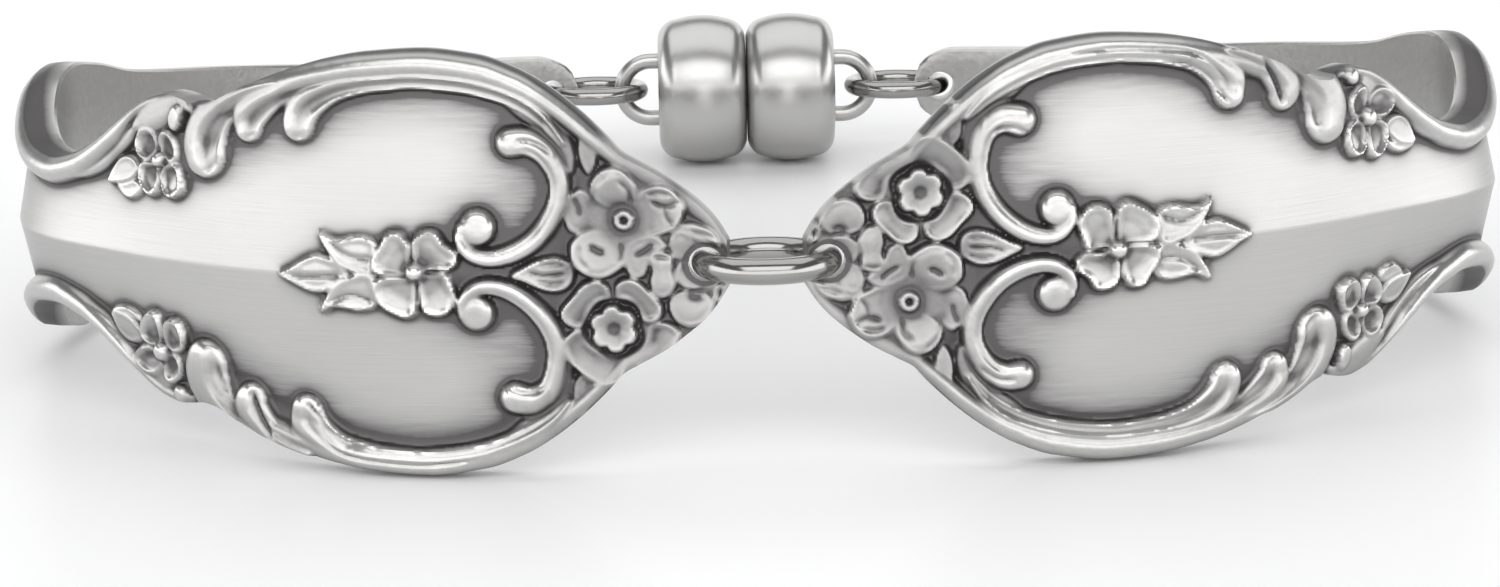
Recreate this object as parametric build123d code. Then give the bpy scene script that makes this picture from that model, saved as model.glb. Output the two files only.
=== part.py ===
from build123d import *
import math
import os
import numpy as np

os.makedirs("parts", exist_ok=True)

# Spoon handle bracelet. Millimetres, +Z up, +Y to the rear of the bracelet.
# Everything is drawn in the plane of the loop and tilted at the end, since the
# bracelet rests on the lower edges of its two wide tips and on the clasp.
TIP_X = 1.72              # from the middle to the blunt tip of each handle
HANDLE_LENGTH = 87.4      # along the bend, tip to rear end
SHIFT_Y = -27.494         # brings the middle of the whole loop over the origin
BORE_TIP = 0.76           # radius of the hole drilled in each tip
BORE_REAR = 0.80          # radius of the hole drilled in each rear end
BORE_REAR_AT = 86.1       # distance of that hole from the tip, along the bend
FRONT_RING = (2.76, 0.58)   # middle radius, wire radius
REAR_RING = (2.50, 0.47)
CLASP_RADIUS = 4.15
CLASP_LENGTH = 9.9        # both halves closed
LOOP_WIRE = 0.43          # wire radius of each clasp eye loop
LOOP_REACH = 7.45         # outside of the eye loop, from the middle of the clasp
LOOP_HEIGHT = 4.1         # outside height of the eye loop

# Bend of a handle: distance from tip, heading in degrees (0 along X, 90 to the rear).
BEND = [
    (0.0, 8.0), (6.0, 6.5), (12.0, 4.0), (18.0, 19.0), (24.0, 37.5), (29.0, 42.0),
    (33.0, 45.0), (37.0, 65.0), (41.0, 88.0), (46.0, 106.5), (54.0, 112.0), (64.0, 118.5),
    (76.0, 138.0), (87.4, 170.0)]

# Half width of the handle along its length: distance from tip, half width.
OUTLINE = [
    (0.0, 1.05), (0.5, 1.85), (1.0, 2.45), (2.0, 3.3), (3.0, 4.0), (4.0, 4.55), (4.7, 4.95),
    (5.3, 5.6), (6.2, 6.5), (7.0, 7.2), (8.0, 7.95), (9.2, 8.65), (11.0, 9.3), (13.5, 9.6),
    (16.0, 9.45), (17.8, 9.15), (19.5, 8.7), (21.2, 8.1), (22.5, 7.5), (23.7, 6.95),
    (24.5, 6.85), (25.5, 7.1), (26.5, 7.2), (27.5, 7.0), (28.7, 6.45), (30.0, 5.6),
    (31.5, 4.65), (33.0, 3.95), (35.0, 3.55), (37.0, 3.75), (40.0, 4.8), (43.0, 6.1),
    (45.5, 6.5), (48.0, 6.2), (52.0, 5.3), (62.0, 4.1), (74.0, 2.75), (82.0, 2.15),
    (85.4, 2.05), (86.6, 1.65), (87.2, 1.1), (87.4, 0.5)]
# Border roll: distance from tip, inset of its middle, radius, top.
BORDER = [
    (0.0, 0.18, 0.60, 0.28), (1.6, 0.20, 0.85, 0.34), (3.6, 0.22, 0.90, 0.40), (4.7, 0.34, 0.72, 0.48),
    (6.2, 0.62, 0.66, 0.66), (9.0, 0.66, 0.72, 0.76), (14.0, 0.62, 0.70, 0.78),
    (20.0, 0.62, 0.70, 0.76), (23.0, 0.50, 0.60, 0.66), (24.4, 0.28, 0.34, 0.30),
    (28.6, 0.28, 0.34, 0.34), (30.0, 0.62, 0.66, 0.70), (33.0, 0.70, 0.76, 0.86),
    (37.0, 0.70, 0.76, 0.88), (45.0, 0.80, 0.86, 0.90), (55.0, 0.80, 0.86, 0.80),
    (64.0, 1.00, 1.00, 0.66), (87.4, 0.90, 0.90, 0.50)]
# Panel: distance from tip, height of its crease, fall per millimetre, crease offset.
PANEL = [
    (0.0, 0.06, 0.00, -0.35), (6.6, 0.08, 0.00, -0.35), (8.2, 0.66, 0.060, -0.35),
    (10.0, 0.84, 0.082, -0.35), (14.0, 0.95, 0.092, -0.35), (20.0, 0.95, 0.098, -0.35),
    (27.0, 0.90, 0.14, -0.35), (31.0, 0.86, 0.20, -0.30), (36.0, 0.86, 0.24, -0.25),
    (45.0, 0.86, 0.14, 0.0), (60.0, 0.78, 0.12, 0.0), (87.4, 0.60, 0.10, 0.0)]

# Strokes (claws, scrolls, shoulders and vines): name, top, hollow along the stroke as
# depth, offset, half width and start, then nodes of distance from tip, height across, radius.
STROKES = [
    ("claw_1_up", 0.68, (0.30, 0.38, 0.38, -4), [(23.95, 4.75, 1.22), (24.0, 5.3, 1.32),
     (23.7, 6.0, 1.22), (23.0, 6.7, .95), (22.1, 7.25, .68), (21.0, 7.75, .42), (20.0, 8.1, .20)]),
    ("claw_2_up", 0.64, (0.26, 0.38, 0.38, -4), [(21.5, 6.12, .80), (21.4, 6.6, .92),
     (20.85, 7.1, .84), (20.0, 7.55, .62), (19.2, 7.95, .42), (18.4, 8.25, .22)]),
    ("claw_3_up", 0.62, (0.24, 0.20, 0.42, -4), [(18.95, 6.25, .78), (18.85, 6.75, .88),
     (18.35, 7.3, .80), (17.4, 7.8, .64), (16.2, 8.08, .52), (15.0, 8.2, .46), (13.5, 8.28, .44),
     (11.2, 8.0, .44), (9.3, 7.38, .42), (8.0, 6.5, .34), (7.2, 5.45, .18)]),
    ("claw_1_low", 0.70, (0.14, -0.52, 0.30, -4), [(24.4, -5.1, 1.25), (24.45, -5.7, 1.38),
     (24.1, -6.4, 1.2), (23.4, -7.0, .88), (22.6, -7.5, .62), (21.6, -8.0, .40), (20.6, -8.35, .20)]),
    ("claw_2_low", 0.66, (0.16, -0.45, 0.30, -4), [(21.95, -6.45, .84), (21.95, -6.9, .95),
     (21.5, -7.45, .85), (20.8, -7.95, .62), (19.9, -8.35, .42), (19.0, -8.65, .22)]),
    ("claw_3_low", 0.64, (0.16, -0.30, 0.30, -4), [(19.1, -6.75, .80), (19.05, -7.25, .92),
     (18.5, -7.8, .80), (17.5, -8.3, .60), (16.2, -8.55, .48), (15.0, -8.68, .44), (13.5, -8.72, .42),
     (11.2, -8.42, .42), (9.3, -7.72, .42), (8.0, -6.95, .34), (7.2, -6.15, .18)]),
    ("scroll_up", 0.64, (0.12, 0.42, 0.15, 3), [(9.45, 5.5, .70), (8.7, 5.5, .66), (7.95, 5.0, .56),
     (7.42, 4.1, .52), (7.35, 3.1, .50), (7.75, 2.1, .50), (8.5, 1.2, .48), (9.5, 0.62, .46),
     (10.5, 0.42, .42), (11.35, 0.65, .38), (11.8, 1.25, .28), (11.78, 1.85, .18)]),
    ("scroll_low", 0.64, (0.12, -0.42, 0.15, 3), [(9.55, -6.0, .76), (8.8, -6.1, .70),
     (8.05, -5.6, .58), (7.72, -4.7, .52), (7.66, -3.7, .50), (7.95, -2.75, .50), (8.6, -1.85, .48),
     (9.5, -1.15, .46), (10.4, -0.85, .42), (11.2, -0.95, .38), (11.75, -1.5, .28),
     (11.85, -2.1, .18)]),
    ("shoulder_up", 0.34, (0, 0, 1, 0), [(10.2, 7.75, .10), (9.2, 7.15, .42), (8.2, 6.5, .52),
     (7.35, 5.7, .50), (6.95, 4.9, .36), (6.85, 4.2, .20)]),
    ("shoulder_low", 0.34, (0, 0, 1, 0), [(10.2, -7.9, .10), (9.2, -7.35, .40), (8.3, -6.8, .46),
     (7.6, -6.0, .44), (7.3, -5.2, .34), (7.2, -4.4, .20)]),
    ("neck_vine_up", 0.46, (0, 0, 1, 0), [(33.8, 2.85, .10), (32.3, 3.1, .36), (31.0, 3.7, .48),
     (30.0, 4.4, .50), (29.2, 5.0, .42), (28.6, 5.5, .25)]),
    ("neck_vine_low", 0.46, (0, 0, 1, 0), [(33.8, -3.1, .10), (32.3, -3.4, .36), (31.1, -4.0, .48),
     (30.2, -4.8, .50), (29.5, -5.4, .42), (29.0, -5.9, .25)]),
    ("upper_lobe", 0.50, (0, 0, 1, 0), [(28.6, 5.55, .35), (28.1, 5.8, .62), (27.4, 6.1, .85),
     (26.7, 6.4, .85), (26.0, 6.75, .62), (25.4, 6.85, .50), (24.9, 6.65, .30)]),
    ("tip_rim_curl", 0.34, (0, 0, 1, 0), [(2.35, 1.45, .22), (1.7, 1.62, .30), (1.0, 1.42, .28),
     (0.45, 0.95, .20)])]
# Middle of each flower, which its petals fall towards.
FLOWERS = {
    "tube": (4.55, 1.98), "cup": (5.10, -2.90), "hole": (1.0, 0.0), "middle": (13.75, -0.12),
    "upper": (26.85, 4.15), "lower": (27.25, -4.80), "twin": (3.4, 0.6), "tip": (0.3, -1.3),
    "front": (6.6, -0.4), "side": (6.0, 0.0)}
# Petals and leaves: flower and place, top, swell of the middle (negative for a cupped
# one), fall to the flower's middle, nodes of the outline.
PADS = [
    ("tube_petal_left", 0.40, 0.04, 0.42, [(6.95, 2.95), (6.5, 3.35), (6.1, 3.1), (5.8, 2.5),
     (5.55, 1.95), (5.75, 1.5), (6.3, 1.35), (6.9, 1.5), (7.15, 2.1)]),
    ("tube_petal_up", 0.50, 0.13, 0.42, [(5.98, 3.5), (5.6, 4.12), (5.0, 4.36), (4.4, 4.1),
     (4.0, 3.5), (4.05, 2.9), (4.5, 2.5), (5.2, 2.55), (5.8, 2.9)]),
    ("tube_petal_right", 0.50, -0.03, 0.42, [(3.95, 2.9), (3.5, 3.38), (2.8, 3.5), (2.2, 3.2),
     (1.86, 2.5), (2.15, 1.75), (2.8, 1.38), (3.5, 1.28), (3.9, 1.7), (4.05, 2.3)]),
    ("tube_petal_low", 0.54, 0.12, 0.42, [(6.85, 1.05), (6.3, 1.45), (5.6, 1.5), (5.0, 1.2),
     (4.6, 0.6), (4.55, 0.05), (4.9, -0.3), (5.5, -0.58), (6.2, -0.5), (6.75, -0.1), (6.95, 0.5)]),
    ("tube_petal_tip", 0.42, 0.00, 0.16, [(4.3, 1.0), (3.6, 1.25), (2.95, 1.15), (2.7, 0.75),
     (3.3, 0.45), (3.5, 0.0), (3.7, -0.5), (4.2, -0.6), (4.5, -0.1), (4.55, 0.6)]),
    ("twin_bud", 0.46, 0.10, 0.06, [(3.4, 0.35), (2.9, 0.52), (2.4, 0.3), (2.45, -0.3), (2.3, -0.85),
     (2.5, -1.3), (2.9, -1.5), (3.3, -1.25), (3.4, -0.75), (3.3, -0.3)]),
    ("cup_petal_1", 0.54, -0.10, 0.30, [(5.3, -1.6), (5.35, -1.0), (5.8, -0.72), (6.4, -0.9),
     (6.95, -1.5), (7.4, -2.05), (7.3, -2.55), (6.8, -2.85), (6.35, -2.75), (6.15, -2.2),
     (5.75, -1.75)]),
    ("cup_petal_2", 0.56, -0.10, 0.30, [(4.95, -1.5), (4.92, -0.95), (4.5, -0.66), (3.95, -0.78),
     (3.45, -1.25), (2.95, -1.8), (2.98, -2.3), (3.3, -2.58), (3.8, -2.55), (4.1, -2.05),
     (4.5, -1.65)]),
    ("cup_petal_3", 0.50, -0.10, 0.30, [(3.5, -2.78), (2.9, -2.62), (2.3, -2.85), (2.2, -3.35),
     (2.65, -4.0), (3.3, -4.5), (3.95, -4.62), (4.3, -4.35), (4.1, -3.9), (3.72, -3.5)]),
    ("cup_petal_4", 0.54, -0.10, 0.30, [(6.4, -3.05), (6.9, -3.0), (7.35, -3.5), (7.2, -4.2),
     (6.7, -4.8), (6.0, -5.3), (5.3, -5.45), (4.75, -5.0), (4.62, -4.4), (4.85, -4.1), (5.5, -4.0),
     (6.1, -3.65)]),
    ("hole_petal_1", 0.34, 0.05, 0.14, [(2.45, 0.6), (2.5, 1.15), (2.1, 1.5), (1.65, 1.3), (1.5, 0.9),
     (1.8, 0.4), (2.15, 0.2)]),
    ("hole_petal_2", 0.32, 0.05, 0.14, [(1.75, 1.35), (1.3, 1.68), (0.8, 1.55), (0.4, 1.15),
     (0.7, 0.9), (1.2, 1.0)]),
    ("hole_petal_3", 0.34, 0.05, 0.14, [(2.1, 0.05), (2.32, -0.45), (2.05, -0.95), (1.55, -1.12),
     (1.2, -0.95), (1.45, -0.55), (1.85, -0.3)]),
    ("hole_petal_4", 0.46, 0.05, 0.14, [(2.6, -1.9), (2.4, -1.4), (1.95, -1.2), (1.4, -1.3),
     (0.95, -1.3), (0.62, -1.7), (0.75, -2.2), (1.1, -2.6), (1.7, -2.78), (2.3, -2.55)]),
    ("tip_curl", 0.34, -0.05, 0.05, [(0.6, -1.35), (0.35, -0.9), (0.12, -1.0), (0.16, -1.4),
     (0.4, -1.65)]),
    ("middle_petal_1", 0.50, -0.22, 0.26, [(13.94, 0.2), (13.96, 1.0), (14.35, 1.55), (14.9, 1.52),
     (15.2, 1.0), (15.55, 0.4), (15.5, -0.1), (15.0, -0.32), (14.15, -0.3)]),
    ("middle_petal_2", 0.54, -0.22, 0.26, [(13.74, 0.1), (13.86, 1.1), (13.4, 1.6), (12.8, 1.6),
     (12.45, 1.1), (12.0, 0.75), (11.95, 0.25), (12.4, -0.08), (12.9, 0.0), (13.45, -0.1)]),
    ("middle_petal_3", 0.48, -0.22, 0.26, [(14.1, -0.42), (15.2, -0.42), (15.55, -0.95),
     (15.3, -1.65), (14.8, -2.0), (14.2, -2.22), (13.75, -1.9), (13.70, -1.2), (13.80, -0.5)]),
    ("middle_petal_4", 0.52, -0.22, 0.26, [(13.6, -0.35), (13.6, -1.3), (13.4, -1.95), (12.8, -2.14),
     (12.25, -1.85), (12.05, -1.2), (12.25, -0.65), (12.45, -0.2), (13.0, -0.2)]),
    ("middle_leaf_up", 0.36, -0.05, 0.10, [(15.4, 0.95), (15.9, 1.35), (16.6, 1.32), (17.3, 1.2),
     (17.95, 1.5), (17.65, 0.85), (17.1, 0.2), (16.4, -0.17), (15.6, -0.2)]),
    ("middle_leaf_end", 0.36, -0.05, 0.10, [(17.0, 0.1), (17.6, 0.4), (18.2, 0.5), (18.8, 0.25),
     (19.3, -0.1), (19.85, -0.38), (19.2, -0.75), (18.5, -1.08), (17.8, -1.1), (17.2, -0.8),
     (16.8, -0.35)]),
    ("middle_leaf_low", 0.38, -0.05, 0.10, [(15.5, -1.6), (16.2, -1.92), (16.9, -1.82), (17.5, -1.78),
     (18.0, -2.05), (17.65, -1.35), (17.15, -0.75), (16.4, -0.36), (15.6, -0.4)]),
    ("front_leaf", 0.38, -0.04, 0.10, [(9.55, -0.38), (8.9, 0.02), (8.3, 0.28), (7.6, 0.36),
     (7.0, 0.05), (6.85, -0.4), (7.05, -0.95), (7.6, -1.16), (8.3, -0.98), (8.95, -0.66)]),
    ("side_leaf_up", 0.40, 0.04, 0.10, [(6.1, 4.05), (6.42, 4.7), (6.45, 5.4), (6.35, 6.0),
     (6.0, 5.6), (5.72, 4.95), (5.78, 4.4)]),
    ("side_leaf_low", 0.42, 0.04, 0.10, [(6.4, -4.9), (6.85, -5.2), (6.98, -5.9), (7.0, -6.6),
     (6.85, -6.9), (6.5, -6.7), (6.25, -6.0), (6.18, -5.3)]),
    ("upper_bud", 0.66, 0.08, 0.06, [(25.5, 6.7), (25.3, 6.2), (25.5, 5.7), (25.85, 5.6), (26.1, 6.0),
     (25.95, 6.5)]),
    ("upper_petal_1", 0.50, -0.24, 0.20, [(27.05, 4.55), (27.15, 5.2), (27.6, 5.5), (28.25, 5.35),
     (28.5, 4.8), (28.25, 4.25), (27.6, 4.08)]),
    ("upper_petal_2", 0.52, -0.24, 0.20, [(26.7, 4.5), (26.85, 5.15), (26.5, 5.5), (26.0, 5.35),
     (25.62, 4.8), (25.65, 4.25), (26.15, 4.1)]),
    ("upper_petal_3", 0.52, -0.24, 0.20, [(26.95, 3.9), (27.5, 4.0), (28.05, 3.85), (28.1, 3.3),
     (27.75, 2.8), (27.25, 2.52), (26.85, 2.8), (26.75, 3.4)]),
    ("upper_petal_4", 0.52, -0.24, 0.20, [(26.6, 3.75), (26.55, 3.1), (26.25, 2.65), (25.75, 2.55),
     (25.25, 2.9), (25.3, 3.5), (25.6, 4.0), (26.15, 4.02)]),
    ("upper_leaf_1", 0.44, -0.03, 0.10, [(28.3, 3.75), (28.8, 4.1), (29.5, 4.02), (30.05, 3.5),
     (30.35, 2.85), (29.7, 2.88), (29.1, 2.98), (28.5, 3.25)]),
    ("upper_leaf_2", 0.36, -0.03, 0.10, [(28.1, 2.8), (28.5, 3.05), (29.1, 2.85), (29.7, 2.75),
     (29.3, 2.4), (28.8, 2.25), (28.3, 2.45)]),
    ("lower_petal_1", 0.50, -0.24, 0.20, [(27.2, -4.3), (27.1, -3.5), (27.3, -2.98), (27.8, -3.0),
     (28.35, -3.5), (28.55, -4.2), (28.1, -4.55), (27.6, -4.55)]),
    ("lower_petal_2", 0.50, -0.24, 0.20, [(26.95, -4.3), (26.9, -3.6), (26.5, -3.2), (25.95, -3.2),
     (25.65, -3.7), (25.7, -4.4), (26.2, -4.7), (26.7, -4.65)]),
    ("lower_petal_3", 0.48, -0.24, 0.20, [(27.8, -4.75), (28.5, -4.7), (29.15, -5.0), (29.3, -5.5),
     (28.7, -5.95), (28.0, -5.95), (27.5, -5.6), (27.4, -5.1)]),
    ("lower_petal_4", 0.48, -0.24, 0.20, [(27.0, -5.1), (27.3, -5.7), (27.1, -6.2), (26.5, -6.1),
     (26.05, -5.6), (26.15, -5.0), (26.6, -4.8)]),
    ("lower_leaf_1", 0.44, -0.03, 0.10, [(28.5, -4.1), (28.8, -4.5), (29.5, -4.62), (30.1, -4.3),
     (30.45, -3.7), (30.5, -3.25), (29.8, -3.25), (29.1, -3.5)]),
    ("lower_leaf_2", 0.38, -0.03, 0.10, [(28.5, -3.5), (28.8, -3.15), (29.4, -2.95), (30.0, -2.98),
     (30.45, -3.15), (29.8, -3.2), (29.1, -3.42)])]
# Beads: u, v, radius, top.
BEADS = [
    (13.75, -0.12, 0.34, 0.62), (11.02, 1.78, 0.84, 0.60), (11.15, -2.05, 0.84, 0.60),
    (26.42, -6.72, 0.44, 0.50), (26.85, 4.15, 0.36, 0.64), (27.25, -4.80, 0.46, 0.68)]
# Mounds that each flower's petals lie on: u, v, radius u, radius v, height.
MOUNDS = [
    (4.75, 2.05, 2.75, 2.5, 0.26), (4.90, -2.85, 2.7, 2.4, 0.22), (1.7, -0.4, 1.9, 2.6, 0.20),
    (13.8, -0.28, 1.85, 1.9, 0.22), (26.95, 4.3, 1.7, 1.75, 0.22), (27.5, -4.8, 1.8, 1.75, 0.22),
    (28.9, 3.2, 1.3, 0.8, 0.14), (29.4, -3.8, 1.1, 0.7, 0.14), (3.2, 0.0, 1.3, 1.5, 0.20),
    (27.9, -6.0, 1.5, 0.95, 0.30)]
# Throats round each flower's middle: u, v, radius, depth.
THROATS = [
    (4.55, 1.98, 1.1, 0.16), (13.75, -0.12, 0.8, 0.16), (26.85, 4.15, 0.7, 0.14), (27.25, -4.8, 0.7, 0.14)]
# Tube: u, v, radius, bore radius, top. Cup: u, v, radius, top, with a scalloped rim.
TUBE = (4.55, 1.98, 0.50, 0.17, 0.50)
CUP = (5.10, -2.90, 1.15, 0.60)
# Margin added round every outlined petal and leaf, and width of its rounded edge.
PAD_MARGIN = 0.10
PAD_EDGE = 0.17
CUP_SCALLOP = 0.20
CUP_TURN = math.radians(24)
HOLE = (1.0, 0.0)


def smooth(rows, col, at):
    """Smooth curve through one column of a table, without overshoot."""
    x = np.array([r[0] for r in rows], float)
    y = np.array([r[col] for r in rows], float)
    h = np.diff(x)
    d = np.diff(y) / h
    m = np.zeros_like(y)
    same = d[:-1] * d[1:] > 0
    safe = np.where(same, d[:-1] + d[1:], 1.0)
    m[1:-1] = np.where(same, 2 * d[:-1] * d[1:] / safe, 0.0)
    m[0], m[-1] = d[0], d[-1]
    at = np.clip(at, x[0], x[-1])
    i = np.clip(np.searchsorted(x, at, side="right") - 1, 0, len(h) - 1)
    s = (at - x[i]) / h[i]
    return ((2*s**3 - 3*s**2 + 1) * y[i] + (s**3 - 2*s**2 + s) * h[i] * m[i]
            + (3*s**2 - 2*s**3) * y[i + 1] + (s**3 - s**2) * h[i] * m[i + 1])


def dome(r2, power=1.0):
    """Round profile: 1 at the middle, 0 at and beyond the rim."""
    return np.sqrt(np.clip(1.0 - r2 ** power, 0.0, 1.0))


def curve(nodes, closed=False, cuts=5):
    """Points of a smooth curve through the nodes."""
    n = len(nodes)
    pts = []
    for i in range(n if closed else n - 1):
        if closed:
            four = [nodes[(i + k) % n] for k in (-1, 0, 1, 2)]
        else:
            four = [nodes[min(max(i + k, 0), n - 1)] for k in (-1, 0, 1, 2)]
        for k in range(cuts):
            t = k / cuts
            pts.append([0.5 * (2*b + (c-a)*t + (2*a-5*b+4*c-d)*t*t + (3*b-a-3*c+d)*t**3)
                        for a, b, c, d in zip(*four)])
    pts.append(list(nodes[0] if closed else nodes[-1]))
    return pts


def stroke_height(u, v, nodes, top, hollow):
    """Tapered round stroke through its nodes, with a hollow that runs along it."""
    depth, offset, width, start = hollow
    pts = curve(nodes)
    best = np.full(u.shape, 9.0)
    hole = np.zeros(u.shape)
    for k, (a, b) in enumerate(zip(pts[:-1], pts[1:])):
        du, dv = b[0] - a[0], b[1] - a[1]
        t = np.clip(((u - a[0]) * du + (v - a[1]) * dv) / (du*du + dv*dv), 0, 1)
        r = a[2] + (b[2] - a[2]) * t
        d2 = ((u - a[0] - du*t)**2 + (v - a[1] - dv*t)**2) / (r * r)
        near = d2 < best
        best = np.where(near, d2, best)
        if depth:
            lat = (du * (v - a[1]) - dv * (u - a[0])) / (math.hypot(du, dv) * r)
            dig = np.clip((k + t - start) / 4, 0, 1) * np.exp(-((lat - offset) / width) ** 4)
            dig *= np.clip((0.85 - d2) / 0.35, 0, 1)
            hole = np.where(near, dig, hole)
    h = 0.04 + (top - 0.04) * dome(best, 1.5) - depth * hole
    return np.where(best < 1, h, -9.0)


def pad_height(u, v, nodes, top, swell, dish, centre):
    """Petal or leaf inside a closed outline: steep edge and a fall to the flower's middle."""
    pts = curve(nodes, closed=True, cuts=4)
    near = np.full(u.shape, 9.0)
    inside = np.zeros(u.shape, bool)
    for a, b in zip(pts[:-1], pts[1:]):
        du, dv = b[0] - a[0], b[1] - a[1]
        t = np.clip(((u - a[0]) * du + (v - a[1]) * dv) / (du*du + dv*dv + 1e-12), 0, 1)
        near = np.minimum(near, np.hypot(u - a[0] - du*t, v - a[1] - dv*t))
        if dv:
            inside ^= ((a[1] > v) != (b[1] > v)) & (u < du * (v - a[1]) / dv + a[0])
    near = np.where(inside, near, -near) + PAD_MARGIN
    away = np.hypot(u - centre[0], v - centre[1])
    reach = [math.hypot(p[0] - centre[0], p[1] - centre[1]) for p in pts]
    fall = np.clip((max(reach) - away) / (max(reach) - min(reach)) - 0.12, 0, 1)
    shoulder = np.clip(near / PAD_EDGE, 0, 1)
    h = (top - dish * fall ** 1.2) * np.sqrt(1 - (1 - shoulder) ** 2)
    if swell < 0:
        bowl = np.clip((near - 0.20) / 0.26, 0, 1)
        h += swell * bowl * bowl * (3 - 2 * bowl) * (0.55 + 0.9 * fall)
    else:
        inner = np.clip(near / 0.75, 0, 1)
        h += swell * inner * (2 - inner)
    return np.where(near > 0, h, -9.0)


def relief(u, v):
    """Height of the outer face above the handle's reference surface."""
    half = smooth(OUTLINE, 1, u)
    crease = smooth(PANEL, 3, u)
    z = smooth(PANEL, 1, u) - smooth(PANEL, 2, u) * np.abs(v - crease)
    # dip of the panel along its border
    inset = half - np.abs(v)
    z = z - 0.08 * np.exp(-((inset - 1.75) / 0.45) ** 2) * (u > 8) * (u < 24)
    ground = z.copy()

    def near(nodes, room):
        """Points close enough to a feature to be worked out."""
        us = [n[0] for n in nodes]
        vs = [n[1] for n in nodes]
        return (u > min(us) - room) & (u < max(us) + room) & (v > min(vs) - room) & (v < max(vs) + room)

    def stand(at, cover):
        """Let a feature, given as height over the ground, stand on it."""
        z[at] = np.maximum(z[at], ground[at] + cover)

    # border roll
    e0, r, top = (smooth(BORDER, c, u) for c in (1, 2, 3))
    q = ((inset - e0) / r) ** 2
    np.maximum(z, np.where(q < 1, -0.15 + (top + 0.15) * dome(q), -9.0), out=z)
    for name, top, hollow, nodes in STROKES:
        at = near(nodes, 1.3)
        if at.any():
            stand(at, stroke_height(u[at], v[at], nodes, top, hollow))
    for cu, cv, ru, rv, top in MOUNDS:
        q = ((u - cu) / ru) ** 2 + ((v - cv) / rv) ** 2
        rise = np.clip(1.35 - q, 0, 1)
        z[:] = np.maximum(z, ground + top * rise * rise * (3 - 2 * rise))
    for name, top, swell, dish, nodes in PADS:
        at = near(nodes, 0.5)
        if at.any():
            centre = FLOWERS[name.split("_")[0]]
            stand(at, pad_height(u[at], v[at], nodes, top, swell, dish, centre))
    for cu, cv, r, deep in THROATS:
        open_by = np.clip(1 - np.hypot(u - cu, v - cv) / r, 0, 1)
        z -= deep * open_by ** 1.3 * np.clip((z - ground + 0.1) / 0.4, 0, 1)
    cu, cv, R, top = CUP
    d = np.hypot(u - cu, v - cv)
    ang = np.arctan2(v - cv, u - cu)
    moat = 1.40 + 0.07 * np.cos(5 * ang + 0.9) + 0.05 * np.cos(3 * ang)
    z -= np.clip(z - ground + 0.06, 0, 9) * np.clip((moat - d) / 0.30, 0, 1)
    rim = R * (1 - CUP_SCALLOP * (1 - np.abs(np.cos(3 * (ang - CUP_TURN)))) ** 1.5)
    q = (d / rim) ** 2
    bowl = np.clip(1 - (d / (0.45 * rim + 0.45 * R)) ** 2, 0, 1)
    cup = 0.05 + (top - 0.05) * dome(q, 6) - 0.24 * bowl - 0.16 * np.exp(-(d / 0.3) ** 2)
    z[:] = np.where(q < 1, np.maximum(z, ground + cup), z)
    for cu, cv, r, top in BEADS:
        q = ((u - cu) ** 2 + (v - cv) ** 2) / (r * r)
        z[:] = np.where(q < 1, np.maximum(z, ground + 0.1 + (top - 0.1) * dome(q, 2)), z)
    cu, cv, R, ri, top = TUBE
    d = np.hypot(u - cu, v - cv)
    tube = 0.05 + (top - 0.05) * dome((d / R) ** 2, 4) - 0.4 * np.exp(-(d / ri) ** 4)
    tube -= 0.09 * np.exp(-((d - 0.30) / 0.05) ** 2)
    z[:] = np.where(d < R, np.maximum(z, ground + tube), z)
    # sunk ring round the drilled hole
    d = np.hypot(u - HOLE[0], v - HOLE[1])
    z[:] = np.where(d < 1.05, np.minimum(z, 0.22 + 0.1 * d), z)
    return z


# Middle line of a handle in plan, as a chain of arcs.
STEP_U = np.linspace(0.0, HANDLE_LENGTH, 1749)
STEP_T = np.radians(np.interp(STEP_U, [r[0] for r in BEND], [r[1] for r in BEND]))
GAP = np.diff(STEP_U)
MID_T = (STEP_T[1:] + STEP_T[:-1]) / 2
STEP_X = TIP_X + np.concatenate([[0.0], np.cumsum(np.cos(MID_T) * GAP)])
STEP_Y = np.concatenate([[0.0], np.cumsum(np.sin(MID_T) * GAP)])


def place(u, v, w):
    """Bend a flat point (along, across, outward) to the left handle's curve."""
    t = np.interp(u, STEP_U, STEP_T)
    x = np.interp(u, STEP_U, STEP_X) + w * np.sin(t)
    y = np.interp(u, STEP_U, STEP_Y) - w * np.cos(t)
    return np.stack([-x, y, v], axis=-1)


# Back face: distance from tip, depth of the edge, depth of the middle.
BACK = [
    (0.0, -0.80, -0.80), (5.0, -0.85, -0.80), (14.0, -0.90, -0.72), (27.0, -1.00, -0.85),
    (36.0, -1.15, -1.10), (46.0, -1.10, -1.00), (62.0, -1.10, -1.15), (87.4, -0.95, -1.05)]

# Rows of the outer face: from, to, how many steps, columns across.
FRONT_ROWS = [(0.0, 9.6, 26, 38), (9.6, 12.6, 7, 38), (12.6, 20.0, 14, 38), (20.0, 31.0, 25, 38),
              (31.6, 50.0, 13, 12), (50.0, 84.0, 11, 12), (84.0, 87.4, 5, 12)]
# Rows of the back face: from, to, how many steps, columns across.
BACK_ROWS = [(0.0, 9.6, 8, 8), (9.6, 31.6, 16, 8), (31.6, 50.0, 13, 8), (50.0, 84.0, 11, 8),
             (84.0, 87.4, 5, 8)]


def stations(rows):
    """Distances from the tip, each with its number of columns."""
    out = []
    for start, stop, steps, columns in rows:
        for k in range(steps + 1):
            at = start + (stop - start) * k / steps
            if not out or at > out[-1][0] + 1e-6:
                out.append((at, columns))
    return out


def across(columns):
    """Positions from edge to edge, closer together near the edges."""
    x = np.linspace(-1.0, 1.0, columns + 1)
    return 0.55 * x + 0.45 * np.sin(x * math.pi / 2)


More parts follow.
